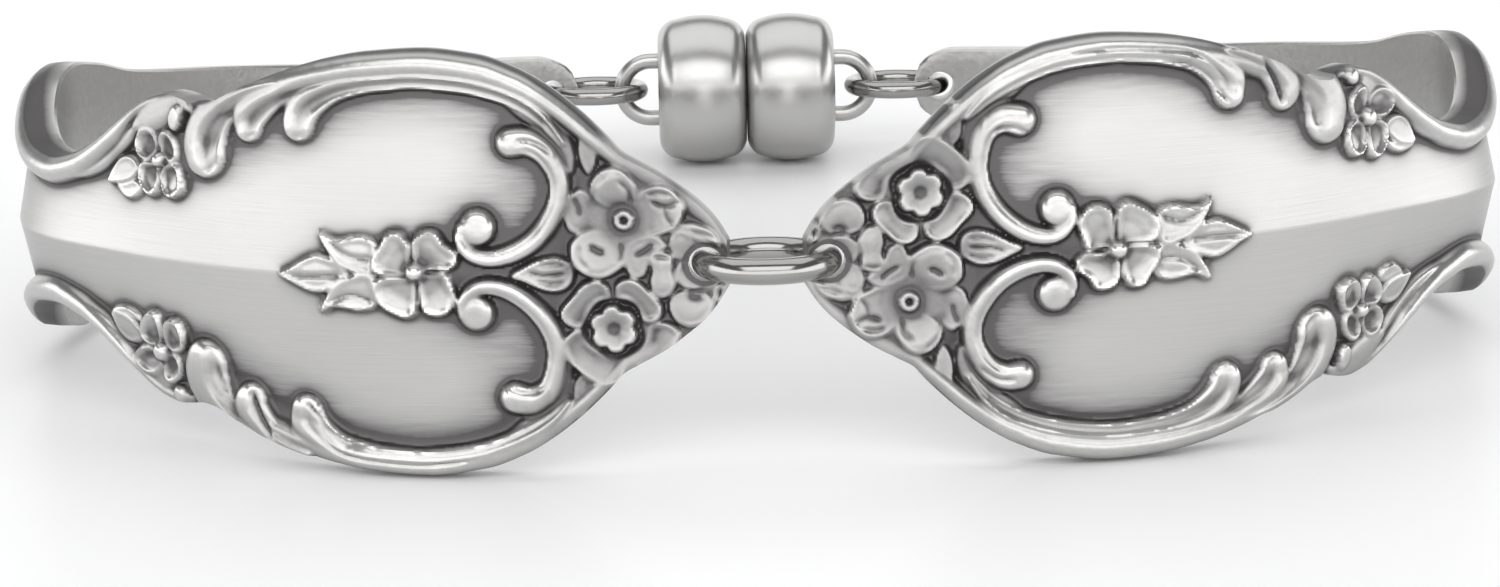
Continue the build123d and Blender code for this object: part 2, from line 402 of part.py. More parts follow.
def strip(a, b, ta, tb):
    """Triangles between two rows of points whose positions are ta and tb."""
    i, j, out = 0, 0, []
    while i < len(a) - 1 or j < len(b) - 1:
        take_a = j == len(b) - 1 or (i < len(a) - 1 and ta[i + 1] <= tb[j + 1] + 1e-9)
        if take_a:
            out.append((a[i], a[i + 1], b[j]))
            i += 1
        else:
            out.append((a[i], b[j + 1], b[j]))
            j += 1
    return out


# Offsets over which the relief is averaged at each corner of the mesh.
SAMPLES = [(0.0, 0.0), (0.1, 0.1), (0.1, -0.1), (-0.1, 0.1), (-0.1, -0.1)]


def skin():
    """All triangles of the left handle, outer face, back face and edges."""
    faces = []
    front, back = [], []
    for u, columns in stations(FRONT_ROWS):
        t = across(columns)
        half = smooth(OUTLINE, 1, np.full(t.shape, u))
        v = t * half
        w = sum(relief(np.full(t.shape, u + du), v + dv) for du, dv in SAMPLES) / len(SAMPLES)
        w[0] = w[-1] = -0.12
        front.append((u, t, [tuple(p) for p in place(np.full(t.shape, u), v, w)]))
    for u, columns in stations(BACK_ROWS):
        t = across(columns)
        at = np.full(t.shape, u)
        v = t * smooth(OUTLINE, 1, at)
        edge, middle = smooth(BACK, 1, at), smooth(BACK, 2, at)
        w = middle + (edge - middle) * t * t
        back.append((u, t, [tuple(p) for p in place(at, v, w)]))
    for (_, ta, a), (_, tb, b) in zip(front[:-1], front[1:]):
        faces += strip(a, b, ta, tb)
    for (_, ta, a), (_, tb, b) in zip(back[:-1], back[1:]):
        faces += [(p, r, q) for p, q, r in strip(a, b, ta, tb)]
    uf, ub = [r[0] for r in front], [r[0] for r in back]
    for side, turn in ((0, False), (-1, True)):
        wall = strip([r[2][side] for r in front], [r[2][side] for r in back], uf, ub)
        faces += [(p, r, q) if turn else (p, q, r) for p, q, r in wall]
    for end, turn in ((0, True), (-1, False)):
        cap = strip(front[end][2], back[end][2], front[end][1], back[end][1])
        faces += [(p, r, q) if turn else (p, q, r) for p, q, r in cap]
    return faces


def facet(points):
    """One flat triangle."""
    return Face(Wire.make_polygon([Vector(*p) for p in points], close=True))


def upright(x, y):
    """Plane whose normal looks along Y, at a point of the loop's plane."""
    return Plane(origin=(x, y, 0), x_dir=(1, 0, 0), z_dir=(0, 1, 0))


def handle():
    """The left handle as one closed solid with its two drilled holes."""
    solid = Solid(Shell([facet(t) for t in skin()]))
    tip = place(HOLE[0], 0.0, 0.0)
    bore = upright(float(tip[0]), 0.0) * Cylinder(BORE_TIP, 8.0)
    rear = place(BORE_REAR_AT, 0.0, 0.0)
    bore_rear = Pos(float(rear[0]), float(rear[1]), 0) * Rot(90, 0, 0) * Cylinder(BORE_REAR, 6.0)
    return solid - bore - bore_rear


def clasp_half():
    """Right half of the barrel clasp with its eye loop, middle at the origin."""
    end = CLASP_LENGTH / 2
    r = CLASP_RADIUS
    rim = Line((0.03, 0), (0.03, r - 1.15))
    rim += ThreePointArc((0.03, r - 1.15), (0.29, r - 0.62), (0.85, r - 0.26))
    rim += ThreePointArc((0.85, r - 0.26), (2.45, r), (3.90, r - 0.20))
    rim += ThreePointArc((3.90, r - 0.20), (4.68, r - 0.62), (end, r - 1.35))
    rim += Line((end, r - 1.35), (end, 0))
    rim += Line((end, 0), (0.03, 0))
    barrel = revolve(make_face(rim), axis=Axis.X, revolution_arc=360)
    reach = LOOP_REACH - LOOP_WIRE
    bow = LOOP_HEIGHT / 2 - LOOP_WIRE
    start = reach - bow
    ring = Pos(start, 0, 0) * Rot(90, 0, 0) * Torus(bow, LOOP_WIRE)
    ring &= Pos(start + 5, 0, 0) * Box(10, 10, 10)
    out = barrel + ring
    for side in (1, -1):
        leg = Pos((start + end - 0.4) / 2, 0, side * bow) * Rot(0, 90, 0)
        out += leg * Cylinder(LOOP_WIRE, start - end + 0.4)
    return out


hole_tip = place(HOLE[0], 0.0, 0.0)
hole_rear = place(BORE_REAR_AT, 0.0, 0.0)
clasp_y = float(hole_rear[1]) + 0.1
rear_x = LOOP_REACH - 2 * LOOP_WIRE - REAR_RING[1] - 0.10 + REAR_RING[0]

# The loop rests on the back lower edges of the wide tips and on the clasp.
LOWEST = max(OUTLINE, key=lambda row: row[1])
edge = place(LOWEST[0], -LOWEST[1], float(smooth(BACK, 1, np.array(LOWEST[0]))))
tilt = math.degrees(math.atan2(LOWEST[1] - CLASP_RADIUS, clasp_y - float(edge[1])))
for _ in range(20):
    a = math.radians(tilt)
    front_height = -LOWEST[1] * math.cos(a) - float(edge[1]) * math.sin(a)
    clasp_height = -clasp_y * math.sin(a) - CLASP_RADIUS
    tilt += 40.0 * (clasp_height - front_height) / clasp_y
FLOOR = -front_height
print("tilt", round(tilt, 3), "floor", round(FLOOR, 3), "clasp y", round(clasp_y, 3))

left = handle()
pieces = {
    "handle_left": left,
    "handle_right": Rot(0, 180, 0) * left,
    "front_ring": Pos(0, float(hole_tip[1]) + 0.25, 0) * Torus(*FRONT_RING),
    "rear_ring_left": Pos(-rear_x, clasp_y, 0) * Torus(*REAR_RING),
    "rear_ring_right": Pos(rear_x, clasp_y, 0) * Torus(*REAR_RING),
    "clasp_half_left": Pos(0, clasp_y, 0) * Rot(0, 180, 0) * clasp_half(),
    "clasp_half_right": Pos(0, clasp_y, 0) * clasp_half(),
}
rest = Pos(0, SHIFT_Y, FLOOR) * Rot(-tilt, 0, 0)
for name, shape in pieces.items():
    placed = rest * shape
    export_step(placed, "parts/" + name + ".step")
    box = placed.bounding_box()
    print(name, placed.is_valid, round(placed.volume, 2), box.min, box.max)
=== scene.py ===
import math
import bpy
import numpy as np
from mathutils import Matrix, Vector


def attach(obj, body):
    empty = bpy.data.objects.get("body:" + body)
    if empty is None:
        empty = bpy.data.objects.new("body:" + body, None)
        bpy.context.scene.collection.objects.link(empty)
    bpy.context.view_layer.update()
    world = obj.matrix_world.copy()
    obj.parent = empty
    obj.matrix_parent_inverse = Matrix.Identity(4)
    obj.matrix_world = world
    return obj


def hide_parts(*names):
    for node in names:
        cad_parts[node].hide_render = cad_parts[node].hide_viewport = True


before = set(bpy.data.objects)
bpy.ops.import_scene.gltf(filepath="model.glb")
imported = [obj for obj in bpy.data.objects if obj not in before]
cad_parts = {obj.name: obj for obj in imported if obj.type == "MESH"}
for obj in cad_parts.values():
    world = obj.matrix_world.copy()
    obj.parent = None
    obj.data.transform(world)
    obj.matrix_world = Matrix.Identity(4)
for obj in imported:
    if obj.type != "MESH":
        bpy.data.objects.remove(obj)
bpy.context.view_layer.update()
bpy.ops.object.select_all(action="DESELECT")

# Handles: the two silver-plated spoon handles, struck from one die: satin facets with a crease,
# a rolled border with claws, scrolls and flowers in raised relief, dark-toned recesses, painted shade
# in the petal bowls and bores, and rubbed crests with a painted highlight.
# Each is bent to the wrist and drilled at both ends; the right one is the left turned over.

# Sizes of the flat pattern are in millimetres. Outline: distance from tip, half width.
OUTLINE = [
    (0.0, 1.05), (0.5, 1.85), (1.0, 2.45), (2.0, 3.3), (3.0, 4.0), (4.0, 4.55), (4.7, 4.95),
    (5.3, 5.6), (6.2, 6.5), (7.0, 7.2), (8.0, 7.95), (9.2, 8.65), (11.0, 9.3), (13.5, 9.6),
    (16.0, 9.45), (17.8, 9.15), (19.5, 8.7), (21.2, 8.1), (22.5, 7.5), (23.7, 6.95),
    (24.5, 6.85), (25.5, 7.1), (26.5, 7.2), (27.5, 7.0), (28.7, 6.45), (30.0, 5.6),
    (31.5, 4.65), (33.0, 3.95), (35.0, 3.55), (37.0, 3.75), (40.0, 4.8), (43.0, 6.1),
    (45.5, 6.5), (48.0, 6.2), (52.0, 5.3), (62.0, 4.1), (74.0, 2.75), (82.0, 2.15),
    (85.4, 2.05), (86.6, 1.65), (87.2, 1.1), (87.4, 0.5)]
# Border roll: distance from tip, inset of its middle, radius, top.
BORDER = [
    (0.0, 0.18, 0.60, 0.28), (1.6, 0.20, 0.85, 0.34), (3.6, 0.22, 0.90, 0.40), (4.7, 0.34, 0.72, 0.48),
    (6.2, 0.62, 0.66, 0.66), (9.0, 0.66, 0.72, 0.76), (14.0, 0.62, 0.70, 0.78),
    (20.0, 0.62, 0.70, 0.76), (23.0, 0.50, 0.60, 0.66), (24.4, 0.28, 0.34, 0.30),
    (28.6, 0.28, 0.34, 0.34), (30.0, 0.62, 0.66, 0.70), (33.0, 0.70, 0.76, 0.86),
    (37.0, 0.70, 0.76, 0.88), (45.0, 0.80, 0.86, 0.90), (55.0, 0.80, 0.86, 0.80),
    (64.0, 1.00, 1.00, 0.66), (87.4, 0.90, 0.90, 0.50)]
# Panel: distance from tip, height of its crease, fall per millimetre, crease offset.
PANEL = [
    (0.0, 0.06, 0.00, -0.35), (6.6, 0.08, 0.00, -0.35), (8.2, 0.66, 0.060, -0.35),
    (10.0, 0.84, 0.082, -0.35), (14.0, 0.95, 0.092, -0.35), (20.0, 0.95, 0.098, -0.35),
    (27.0, 0.90, 0.14, -0.35), (31.0, 0.86, 0.20, -0.30), (36.0, 0.86, 0.24, -0.25),
    (45.0, 0.86, 0.14, 0.0), (60.0, 0.78, 0.12, 0.0), (87.4, 0.60, 0.10, 0.0)]

# Strokes (claws, scrolls, shoulders and vines): name, top, hollow along the stroke as
# depth, offset, half width and start, then nodes of distance from tip, height across, radius.
STROKES = [
    ("claw_1_up", 0.68, (0.30, 0.38, 0.38, -4), [(23.95, 4.75, 1.22), (24.0, 5.3, 1.32),
     (23.7, 6.0, 1.22), (23.0, 6.7, .95), (22.1, 7.25, .68), (21.0, 7.75, .42), (20.0, 8.1, .20)]),
    ("claw_2_up", 0.64, (0.26, 0.38, 0.38, -4), [(21.5, 6.12, .80), (21.4, 6.6, .92),
     (20.85, 7.1, .84), (20.0, 7.55, .62), (19.2, 7.95, .42), (18.4, 8.25, .22)]),
    ("claw_3_up", 0.62, (0.24, 0.20, 0.42, -4), [(18.95, 6.25, .78), (18.85, 6.75, .88),
     (18.35, 7.3, .80), (17.4, 7.8, .64), (16.2, 8.08, .52), (15.0, 8.2, .46), (13.5, 8.28, .44),
     (11.2, 8.0, .44), (9.3, 7.38, .42), (8.0, 6.5, .34), (7.2, 5.45, .18)]),
    ("claw_1_low", 0.70, (0.14, -0.52, 0.30, -4), [(24.4, -5.1, 1.25), (24.45, -5.7, 1.38),
     (24.1, -6.4, 1.2), (23.4, -7.0, .88), (22.6, -7.5, .62), (21.6, -8.0, .40), (20.6, -8.35, .20)]),
    ("claw_2_low", 0.66, (0.16, -0.45, 0.30, -4), [(21.95, -6.45, .84), (21.95, -6.9, .95),
     (21.5, -7.45, .85), (20.8, -7.95, .62), (19.9, -8.35, .42), (19.0, -8.65, .22)]),
    ("claw_3_low", 0.64, (0.16, -0.30, 0.30, -4), [(19.1, -6.75, .80), (19.05, -7.25, .92),
     (18.5, -7.8, .80), (17.5, -8.3, .60), (16.2, -8.55, .48), (15.0, -8.68, .44), (13.5, -8.72, .42),
     (11.2, -8.42, .42), (9.3, -7.72, .42), (8.0, -6.95, .34), (7.2, -6.15, .18)]),
    ("scroll_up", 0.64, (0.12, 0.42, 0.15, 3), [(9.45, 5.5, .70), (8.7, 5.5, .66), (7.95, 5.0, .56),
     (7.42, 4.1, .52), (7.35, 3.1, .50), (7.75, 2.1, .50), (8.5, 1.2, .48), (9.5, 0.62, .46),
     (10.5, 0.42, .42), (11.35, 0.65, .38), (11.8, 1.25, .28), (11.78, 1.85, .18)]),
    ("scroll_low", 0.64, (0.12, -0.42, 0.15, 3), [(9.55, -6.0, .76), (8.8, -6.1, .70),
     (8.05, -5.6, .58), (7.72, -4.7, .52), (7.66, -3.7, .50), (7.95, -2.75, .50), (8.6, -1.85, .48),
     (9.5, -1.15, .46), (10.4, -0.85, .42), (11.2, -0.95, .38), (11.75, -1.5, .28),
     (11.85, -2.1, .18)]),
    ("shoulder_up", 0.34, (0, 0, 1, 0), [(10.2, 7.75, .10), (9.2, 7.15, .42), (8.2, 6.5, .52),
     (7.35, 5.7, .50), (6.95, 4.9, .36), (6.85, 4.2, .20)]),
    ("shoulder_low", 0.34, (0, 0, 1, 0), [(10.2, -7.9, .10), (9.2, -7.35, .40), (8.3, -6.8, .46),
     (7.6, -6.0, .44), (7.3, -5.2, .34), (7.2, -4.4, .20)]),
    ("neck_vine_up", 0.46, (0, 0, 1, 0), [(33.8, 2.85, .10), (32.3, 3.1, .36), (31.0, 3.7, .48),
     (30.0, 4.4, .50), (29.2, 5.0, .42), (28.6, 5.5, .25)]),
    ("neck_vine_low", 0.46, (0, 0, 1, 0), [(33.8, -3.1, .10), (32.3, -3.4, .36), (31.1, -4.0, .48),
     (30.2, -4.8, .50), (29.5, -5.4, .42), (29.0, -5.9, .25)]),
    ("upper_lobe", 0.50, (0, 0, 1, 0), [(28.6, 5.55, .35), (28.1, 5.8, .62), (27.4, 6.1, .85),
     (26.7, 6.4, .85), (26.0, 6.75, .62), (25.4, 6.85, .50), (24.9, 6.65, .30)]),
    ("tip_rim_curl", 0.34, (0, 0, 1, 0), [(2.35, 1.45, .22), (1.7, 1.62, .30), (1.0, 1.42, .28),
     (0.45, 0.95, .20)])]
# Middle of each flower, which its petals fall towards.
FLOWERS = {
    "tube": (4.55, 1.98), "cup": (5.10, -2.90), "hole": (1.0, 0.0), "middle": (13.75, -0.12),
    "upper": (26.85, 4.15), "lower": (27.25, -4.80), "twin": (3.4, 0.6), "tip": (0.3, -1.3),
    "front": (6.6, -0.4), "side": (6.0, 0.0)}
# Petals and leaves: flower and place, top, swell of the middle (negative for a cupped
# one), fall to the flower's middle, nodes of the outline.
PADS = [
    ("tube_petal_left", 0.40, 0.04, 0.42, [(6.95, 2.95), (6.5, 3.35), (6.1, 3.1), (5.8, 2.5),
     (5.55, 1.95), (5.75, 1.5), (6.3, 1.35), (6.9, 1.5), (7.15, 2.1)]),
    ("tube_petal_up", 0.50, 0.13, 0.42, [(5.98, 3.5), (5.6, 4.12), (5.0, 4.36), (4.4, 4.1),
     (4.0, 3.5), (4.05, 2.9), (4.5, 2.5), (5.2, 2.55), (5.8, 2.9)]),
    ("tube_petal_right", 0.50, -0.03, 0.42, [(3.95, 2.9), (3.5, 3.38), (2.8, 3.5), (2.2, 3.2),
     (1.86, 2.5), (2.15, 1.75), (2.8, 1.38), (3.5, 1.28), (3.9, 1.7), (4.05, 2.3)]),
    ("tube_petal_low", 0.54, 0.12, 0.42, [(6.85, 1.05), (6.3, 1.45), (5.6, 1.5), (5.0, 1.2),
     (4.6, 0.6), (4.55, 0.05), (4.9, -0.3), (5.5, -0.58), (6.2, -0.5), (6.75, -0.1), (6.95, 0.5)]),
    ("tube_petal_tip", 0.42, 0.00, 0.16, [(4.3, 1.0), (3.6, 1.25), (2.95, 1.15), (2.7, 0.75),
     (3.3, 0.45), (3.5, 0.0), (3.7, -0.5), (4.2, -0.6), (4.5, -0.1), (4.55, 0.6)]),
    ("twin_bud", 0.46, 0.10, 0.06, [(3.4, 0.35), (2.9, 0.52), (2.4, 0.3), (2.45, -0.3), (2.3, -0.85),
     (2.5, -1.3), (2.9, -1.5), (3.3, -1.25), (3.4, -0.75), (3.3, -0.3)]),
    ("cup_petal_1", 0.54, -0.10, 0.30, [(5.3, -1.6), (5.35, -1.0), (5.8, -0.72), (6.4, -0.9),
     (6.95, -1.5), (7.4, -2.05), (7.3, -2.55), (6.8, -2.85), (6.35, -2.75), (6.15, -2.2),
     (5.75, -1.75)]),
    ("cup_petal_2", 0.56, -0.10, 0.30, [(4.95, -1.5), (4.92, -0.95), (4.5, -0.66), (3.95, -0.78),
     (3.45, -1.25), (2.95, -1.8), (2.98, -2.3), (3.3, -2.58), (3.8, -2.55), (4.1, -2.05),
     (4.5, -1.65)]),
    ("cup_petal_3", 0.50, -0.10, 0.30, [(3.5, -2.78), (2.9, -2.62), (2.3, -2.85), (2.2, -3.35),
     (2.65, -4.0), (3.3, -4.5), (3.95, -4.62), (4.3, -4.35), (4.1, -3.9), (3.72, -3.5)]),
    ("cup_petal_4", 0.54, -0.10, 0.30, [(6.4, -3.05), (6.9, -3.0), (7.35, -3.5), (7.2, -4.2),
     (6.7, -4.8), (6.0, -5.3), (5.3, -5.45), (4.75, -5.0), (4.62, -4.4), (4.85, -4.1), (5.5, -4.0),
     (6.1, -3.65)]),
    ("hole_petal_1", 0.34, 0.05, 0.14, [(2.45, 0.6), (2.5, 1.15), (2.1, 1.5), (1.65, 1.3), (1.5, 0.9),
     (1.8, 0.4), (2.15, 0.2)]),
    ("hole_petal_2", 0.32, 0.05, 0.14, [(1.75, 1.35), (1.3, 1.68), (0.8, 1.55), (0.4, 1.15),
     (0.7, 0.9), (1.2, 1.0)]),
    ("hole_petal_3", 0.34, 0.05, 0.14, [(2.1, 0.05), (2.32, -0.45), (2.05, -0.95), (1.55, -1.12),
     (1.2, -0.95), (1.45, -0.55), (1.85, -0.3)]),
    ("hole_petal_4", 0.46, 0.05, 0.14, [(2.6, -1.9), (2.4, -1.4), (1.95, -1.2), (1.4, -1.3),
     (0.95, -1.3), (0.62, -1.7), (0.75, -2.2), (1.1, -2.6), (1.7, -2.78), (2.3, -2.55)]),
    ("tip_curl", 0.34, -0.05, 0.05, [(0.6, -1.35), (0.35, -0.9), (0.12, -1.0), (0.16, -1.4),
     (0.4, -1.65)]),
    ("middle_petal_1", 0.50, -0.22, 0.26, [(13.94, 0.2), (13.96, 1.0), (14.35, 1.55), (14.9, 1.52),
     (15.2, 1.0), (15.55, 0.4), (15.5, -0.1), (15.0, -0.32), (14.15, -0.3)]),
    ("middle_petal_2", 0.54, -0.22, 0.26, [(13.74, 0.1), (13.86, 1.1), (13.4, 1.6), (12.8, 1.6),
     (12.45, 1.1), (12.0, 0.75), (11.95, 0.25), (12.4, -0.08), (12.9, 0.0), (13.45, -0.1)]),
    ("middle_petal_3", 0.48, -0.22, 0.26, [(14.1, -0.42), (15.2, -0.42), (15.55, -0.95),
     (15.3, -1.65), (14.8, -2.0), (14.2, -2.22), (13.75, -1.9), (13.70, -1.2), (13.80, -0.5)]),
    ("middle_petal_4", 0.52, -0.22, 0.26, [(13.6, -0.35), (13.6, -1.3), (13.4, -1.95), (12.8, -2.14),
     (12.25, -1.85), (12.05, -1.2), (12.25, -0.65), (12.45, -0.2), (13.0, -0.2)]),
    ("middle_leaf_up", 0.36, -0.05, 0.10, [(15.4, 0.95), (15.9, 1.35), (16.6, 1.32), (17.3, 1.2),
     (17.95, 1.5), (17.65, 0.85), (17.1, 0.2), (16.4, -0.17), (15.6, -0.2)]),
    ("middle_leaf_end", 0.36, -0.05, 0.10, [(17.0, 0.1), (17.6, 0.4), (18.2, 0.5), (18.8, 0.25),
     (19.3, -0.1), (19.85, -0.38), (19.2, -0.75), (18.5, -1.08), (17.8, -1.1), (17.2, -0.8),
     (16.8, -0.35)]),
    ("middle_leaf_low", 0.38, -0.05, 0.10, [(15.5, -1.6), (16.2, -1.92), (16.9, -1.82), (17.5, -1.78),
     (18.0, -2.05), (17.65, -1.35), (17.15, -0.75), (16.4, -0.36), (15.6, -0.4)]),
    ("front_leaf", 0.38, -0.04, 0.10, [(9.55, -0.38), (8.9, 0.02), (8.3, 0.28), (7.6, 0.36),
     (7.0, 0.05), (6.85, -0.4), (7.05, -0.95), (7.6, -1.16), (8.3, -0.98), (8.95, -0.66)]),
    ("side_leaf_up", 0.40, 0.04, 0.10, [(6.1, 4.05), (6.42, 4.7), (6.45, 5.4), (6.35, 6.0),
     (6.0, 5.6), (5.72, 4.95), (5.78, 4.4)]),
    ("side_leaf_low", 0.42, 0.04, 0.10, [(6.4, -4.9), (6.85, -5.2), (6.98, -5.9), (7.0, -6.6),
     (6.85, -6.9), (6.5, -6.7), (6.25, -6.0), (6.18, -5.3)]),
    ("upper_bud", 0.66, 0.08, 0.06, [(25.5, 6.7), (25.3, 6.2), (25.5, 5.7), (25.85, 5.6), (26.1, 6.0),
     (25.95, 6.5)]),
    ("upper_petal_1", 0.50, -0.24, 0.20, [(27.05, 4.55), (27.15, 5.2), (27.6, 5.5), (28.25, 5.35),
     (28.5, 4.8), (28.25, 4.25), (27.6, 4.08)]),
    ("upper_petal_2", 0.52, -0.24, 0.20, [(26.7, 4.5), (26.85, 5.15), (26.5, 5.5), (26.0, 5.35),
     (25.62, 4.8), (25.65, 4.25), (26.15, 4.1)]),
    ("upper_petal_3", 0.52, -0.24, 0.20, [(26.95, 3.9), (27.5, 4.0), (28.05, 3.85), (28.1, 3.3),
     (27.75, 2.8), (27.25, 2.52), (26.85, 2.8), (26.75, 3.4)]),
    ("upper_petal_4", 0.52, -0.24, 0.20, [(26.6, 3.75), (26.55, 3.1), (26.25, 2.65), (25.75, 2.55),
     (25.25, 2.9), (25.3, 3.5), (25.6, 4.0), (26.15, 4.02)]),
    ("upper_leaf_1", 0.44, -0.03, 0.10, [(28.3, 3.75), (28.8, 4.1), (29.5, 4.02), (30.05, 3.5),
     (30.35, 2.85), (29.7, 2.88), (29.1, 2.98), (28.5, 3.25)]),
    ("upper_leaf_2", 0.36, -0.03, 0.10, [(28.1, 2.8), (28.5, 3.05), (29.1, 2.85), (29.7, 2.75),
     (29.3, 2.4), (28.8, 2.25), (28.3, 2.45)]),
    ("lower_petal_1", 0.50, -0.24, 0.20, [(27.2, -4.3), (27.1, -3.5), (27.3, -2.98), (27.8, -3.0),
     (28.35, -3.5), (28.55, -4.2), (28.1, -4.55), (27.6, -4.55)]),
    ("lower_petal_2", 0.50, -0.24, 0.20, [(26.95, -4.3), (26.9, -3.6), (26.5, -3.2), (25.95, -3.2),
     (25.65, -3.7), (25.7, -4.4), (26.2, -4.7), (26.7, -4.65)]),
    ("lower_petal_3", 0.48, -0.24, 0.20, [(27.8, -4.75), (28.5, -4.7), (29.15, -5.0), (29.3, -5.5),
     (28.7, -5.95), (28.0, -5.95), (27.5, -5.6), (27.4, -5.1)]),
    ("lower_petal_4", 0.48, -0.24, 0.20, [(27.0, -5.1), (27.3, -5.7), (27.1, -6.2), (26.5, -6.1),
     (26.05, -5.6), (26.15, -5.0), (26.6, -4.8)]),
    ("lower_leaf_1", 0.44, -0.03, 0.10, [(28.5, -4.1), (28.8, -4.5), (29.5, -4.62), (30.1, -4.3),
     (30.45, -3.7), (30.5, -3.25), (29.8, -3.25), (29.1, -3.5)]),
    ("lower_leaf_2", 0.38, -0.03, 0.10, [(28.5, -3.5), (28.8, -3.15), (29.4, -2.95), (30.0, -2.98),
     (30.45, -3.15), (29.8, -3.2), (29.1, -3.42)])]
# Fine grooves: depth, half width, nodes.
GROOVES = [
    (0.24, 0.085, [(13.66, -0.55), (13.65, -1.25), (13.58, -2.0)]),
    (0.20, 0.08, [(13.88, 0.15), (13.90, 0.9), (13.92, 1.6)]),
    (0.18, 0.075, [(14.1, -0.36), (14.8, -0.37), (15.6, -0.30)]),
    (0.16, 0.075, [(13.3, -0.20), (12.8, -0.14), (12.3, -0.16)]),
    (0.18, 0.10, [(9.25, 5.62), (8.6, 5.6), (8.05, 5.35), (7.65, 5.0)]),
    (0.18, 0.10, [(9.9, -5.42), (9.3, -5.68), (8.8, -5.66), (8.4, -5.48)]),
    (0.22, 0.09, [(21.78, -5.95), (21.55, -6.7), (21.2, -7.4), (20.7, -8.1)]),
    (0.22, 0.09, [(18.98, -6.3), (18.5, -6.9), (18.1, -7.5), (17.2, -8.05), (16.0, -8.3)]),
    (0.16, 0.08, [(18.95, -7.3), (18.3, -8.0), (17.2, -8.66), (15.6, -8.92), (13.5, -9.02),
     (11.5, -8.8)]),
    (0.12, 0.12, [(23.6, -4.9), (23.5, -5.5), (23.1, -6.2)]),
    (0.16, 0.09, [(15.6, 0.45), (16.4, 0.42), (17.0, 0.7), (17.7, 1.3)]),
    (0.16, 0.09, [(16.9, -0.33), (18.0, -0.42), (19.5, -0.40)]),
    (0.16, 0.09, [(15.6, -1.55), (16.3, -1.30), (16.9, -1.28), (17.6, -1.65)]),
    (0.18, 0.08, [(8.8, -0.22), (8.1, -0.40), (7.2, -0.38)]),
    (0.12, 0.07, [(8.4, -0.62), (7.8, -0.80), (7.2, -0.78)]),
    (0.12, 0.07, [(8.3, 0.02), (7.7, 0.08), (7.2, -0.02)]),
    (0.14, 0.08, [(5.86, 2.9), (5.86, 3.4), (5.6, 3.85), (5.15, 4.15)]),
    (0.14, 0.12, [(4.2, 2.75), (4.3, 3.3), (4.7, 3.75)]),
    (0.16, 0.11, [(3.3, 2.8), (2.9, 2.62), (2.5, 2.65), (2.1, 2.85)]),
    (0.12, 0.10, [(2.7, 2.5), (2.62, 2.1), (2.35, 1.75)]),
    (0.12, 0.08, [(3.5, 3.12), (3.0, 3.2), (2.45, 3.1)]),
    (0.18, 0.14, [(6.05, 0.85), (5.75, 0.62), (5.5, 0.55)]),
    (0.10, 0.10, [(6.5, 0.9), (6.55, 0.3), (6.2, -0.15)]),
    (0.12, 0.08, [(4.75, 0.9), (4.68, 0.5), (4.75, 0.15)]),
    (0.16, 0.10, [(4.1, 0.35), (3.6, 0.65), (3.3, 0.9)]),
    (0.16, 0.08, [(3.25, 0.32), (2.9, 0.36), (2.55, 0.28)]),
    (0.12, 0.12, [(6.7, 3.0), (6.55, 2.6), (6.5, 2.2)]),
    (0.16, 0.20, [(1.7, -1.25), (1.45, -1.5), (1.2, -1.35)]),
    (0.14, 0.08, [(0.42, -1.05), (0.34, -1.25), (0.32, -1.42)]),
    (0.10, 0.10, [(1.55, 1.5), (1.1, 1.35), (0.6, 1.2)])]
# Beads: u, v, radius, top.
BEADS = [
    (13.75, -0.12, 0.42, 0.72), (11.02, 1.78, 0.84, 0.60), (11.15, -2.05, 0.84, 0.60),
    (26.42, -6.72, 0.44, 0.50), (26.85, 4.15, 0.36, 0.64), (27.25, -4.80, 0.46, 0.68)]
# Mounds that each flower's petals lie on: u, v, radius u, radius v, height.
MOUNDS = [
    (4.75, 2.05, 2.75, 2.5, 0.26), (4.90, -2.85, 2.7, 2.4, 0.22), (1.7, -0.4, 1.9, 2.6, 0.20),
    (13.8, -0.28, 1.85, 1.9, 0.22), (26.95, 4.3, 1.7, 1.75, 0.22), (27.5, -4.8, 1.8, 1.75, 0.22),
    (28.9, 3.2, 1.3, 0.8, 0.14), (29.4, -3.8, 1.1, 0.7, 0.14), (3.2, 0.0, 1.3, 1.5, 0.20),
    (27.9, -6.0, 1.5, 0.95, 0.30)]
# Throats round each flower's middle: u, v, radius, depth.
THROATS = [
    (4.55, 1.98, 1.1, 0.16), (13.75, -0.12, 0.8, 0.16), (26.85, 4.15, 0.7, 0.14),
    (27.25, -4.8, 0.7, 0.14)]
# Tube: u, v, radius, bore radius, top; then its bore's depth and the line round its mouth as
# depth, radius, half width.
TUBE = (4.55, 1.98, 0.50, 0.17, 0.50)
TUBE_BORE = 0.40
TUBE_LINE = (0.09, 0.30, 0.05)
# Cup: u, v, radius, top; its rim's scallops, the depths of its bowl and of the pit in the bowl,
# and the ring cleared round it as radius and width of the slope.
CUP = (5.10, -2.90, 1.15, 0.60)
CUP_SCALLOP = 0.20
CUP_TURN = math.radians(24)
CUP_BOWL, CUP_PIT = 0.24, 0.16
CUP_RING, CUP_RING_SLOPE = 1.40, 0.30
# Margin added round every outlined petal and leaf, and width of its rounded edge.
PAD_MARGIN = 0.10
PAD_EDGE = 0.17
# Lip along the edge and the flute behind it: height, distance in from the edge, half width.
PAD_LIP = (0.03, 0.13, 0.08)
PAD_FLUTE = (-0.018, 0.34, 0.13)
# Cupped petals: where the bowl starts and how wide its slope is; others: width of the swell.
BOWL_START, BOWL_SLOPE = 0.20, 0.26
SWELL_SLOPE = 0.75
# Foot of the border roll, and the dip of the panel along it as depth, inset, half width.
BORDER_FOOT = -0.15
PANEL_DIP = (0.08, 1.75, 0.45)
# Hole at the tip: u, v; the sunk ring round it as radius, height at the middle, slope.
HOLE = (1.0, 0.0)
HOLE_RING = (1.05, 0.22, 0.10)


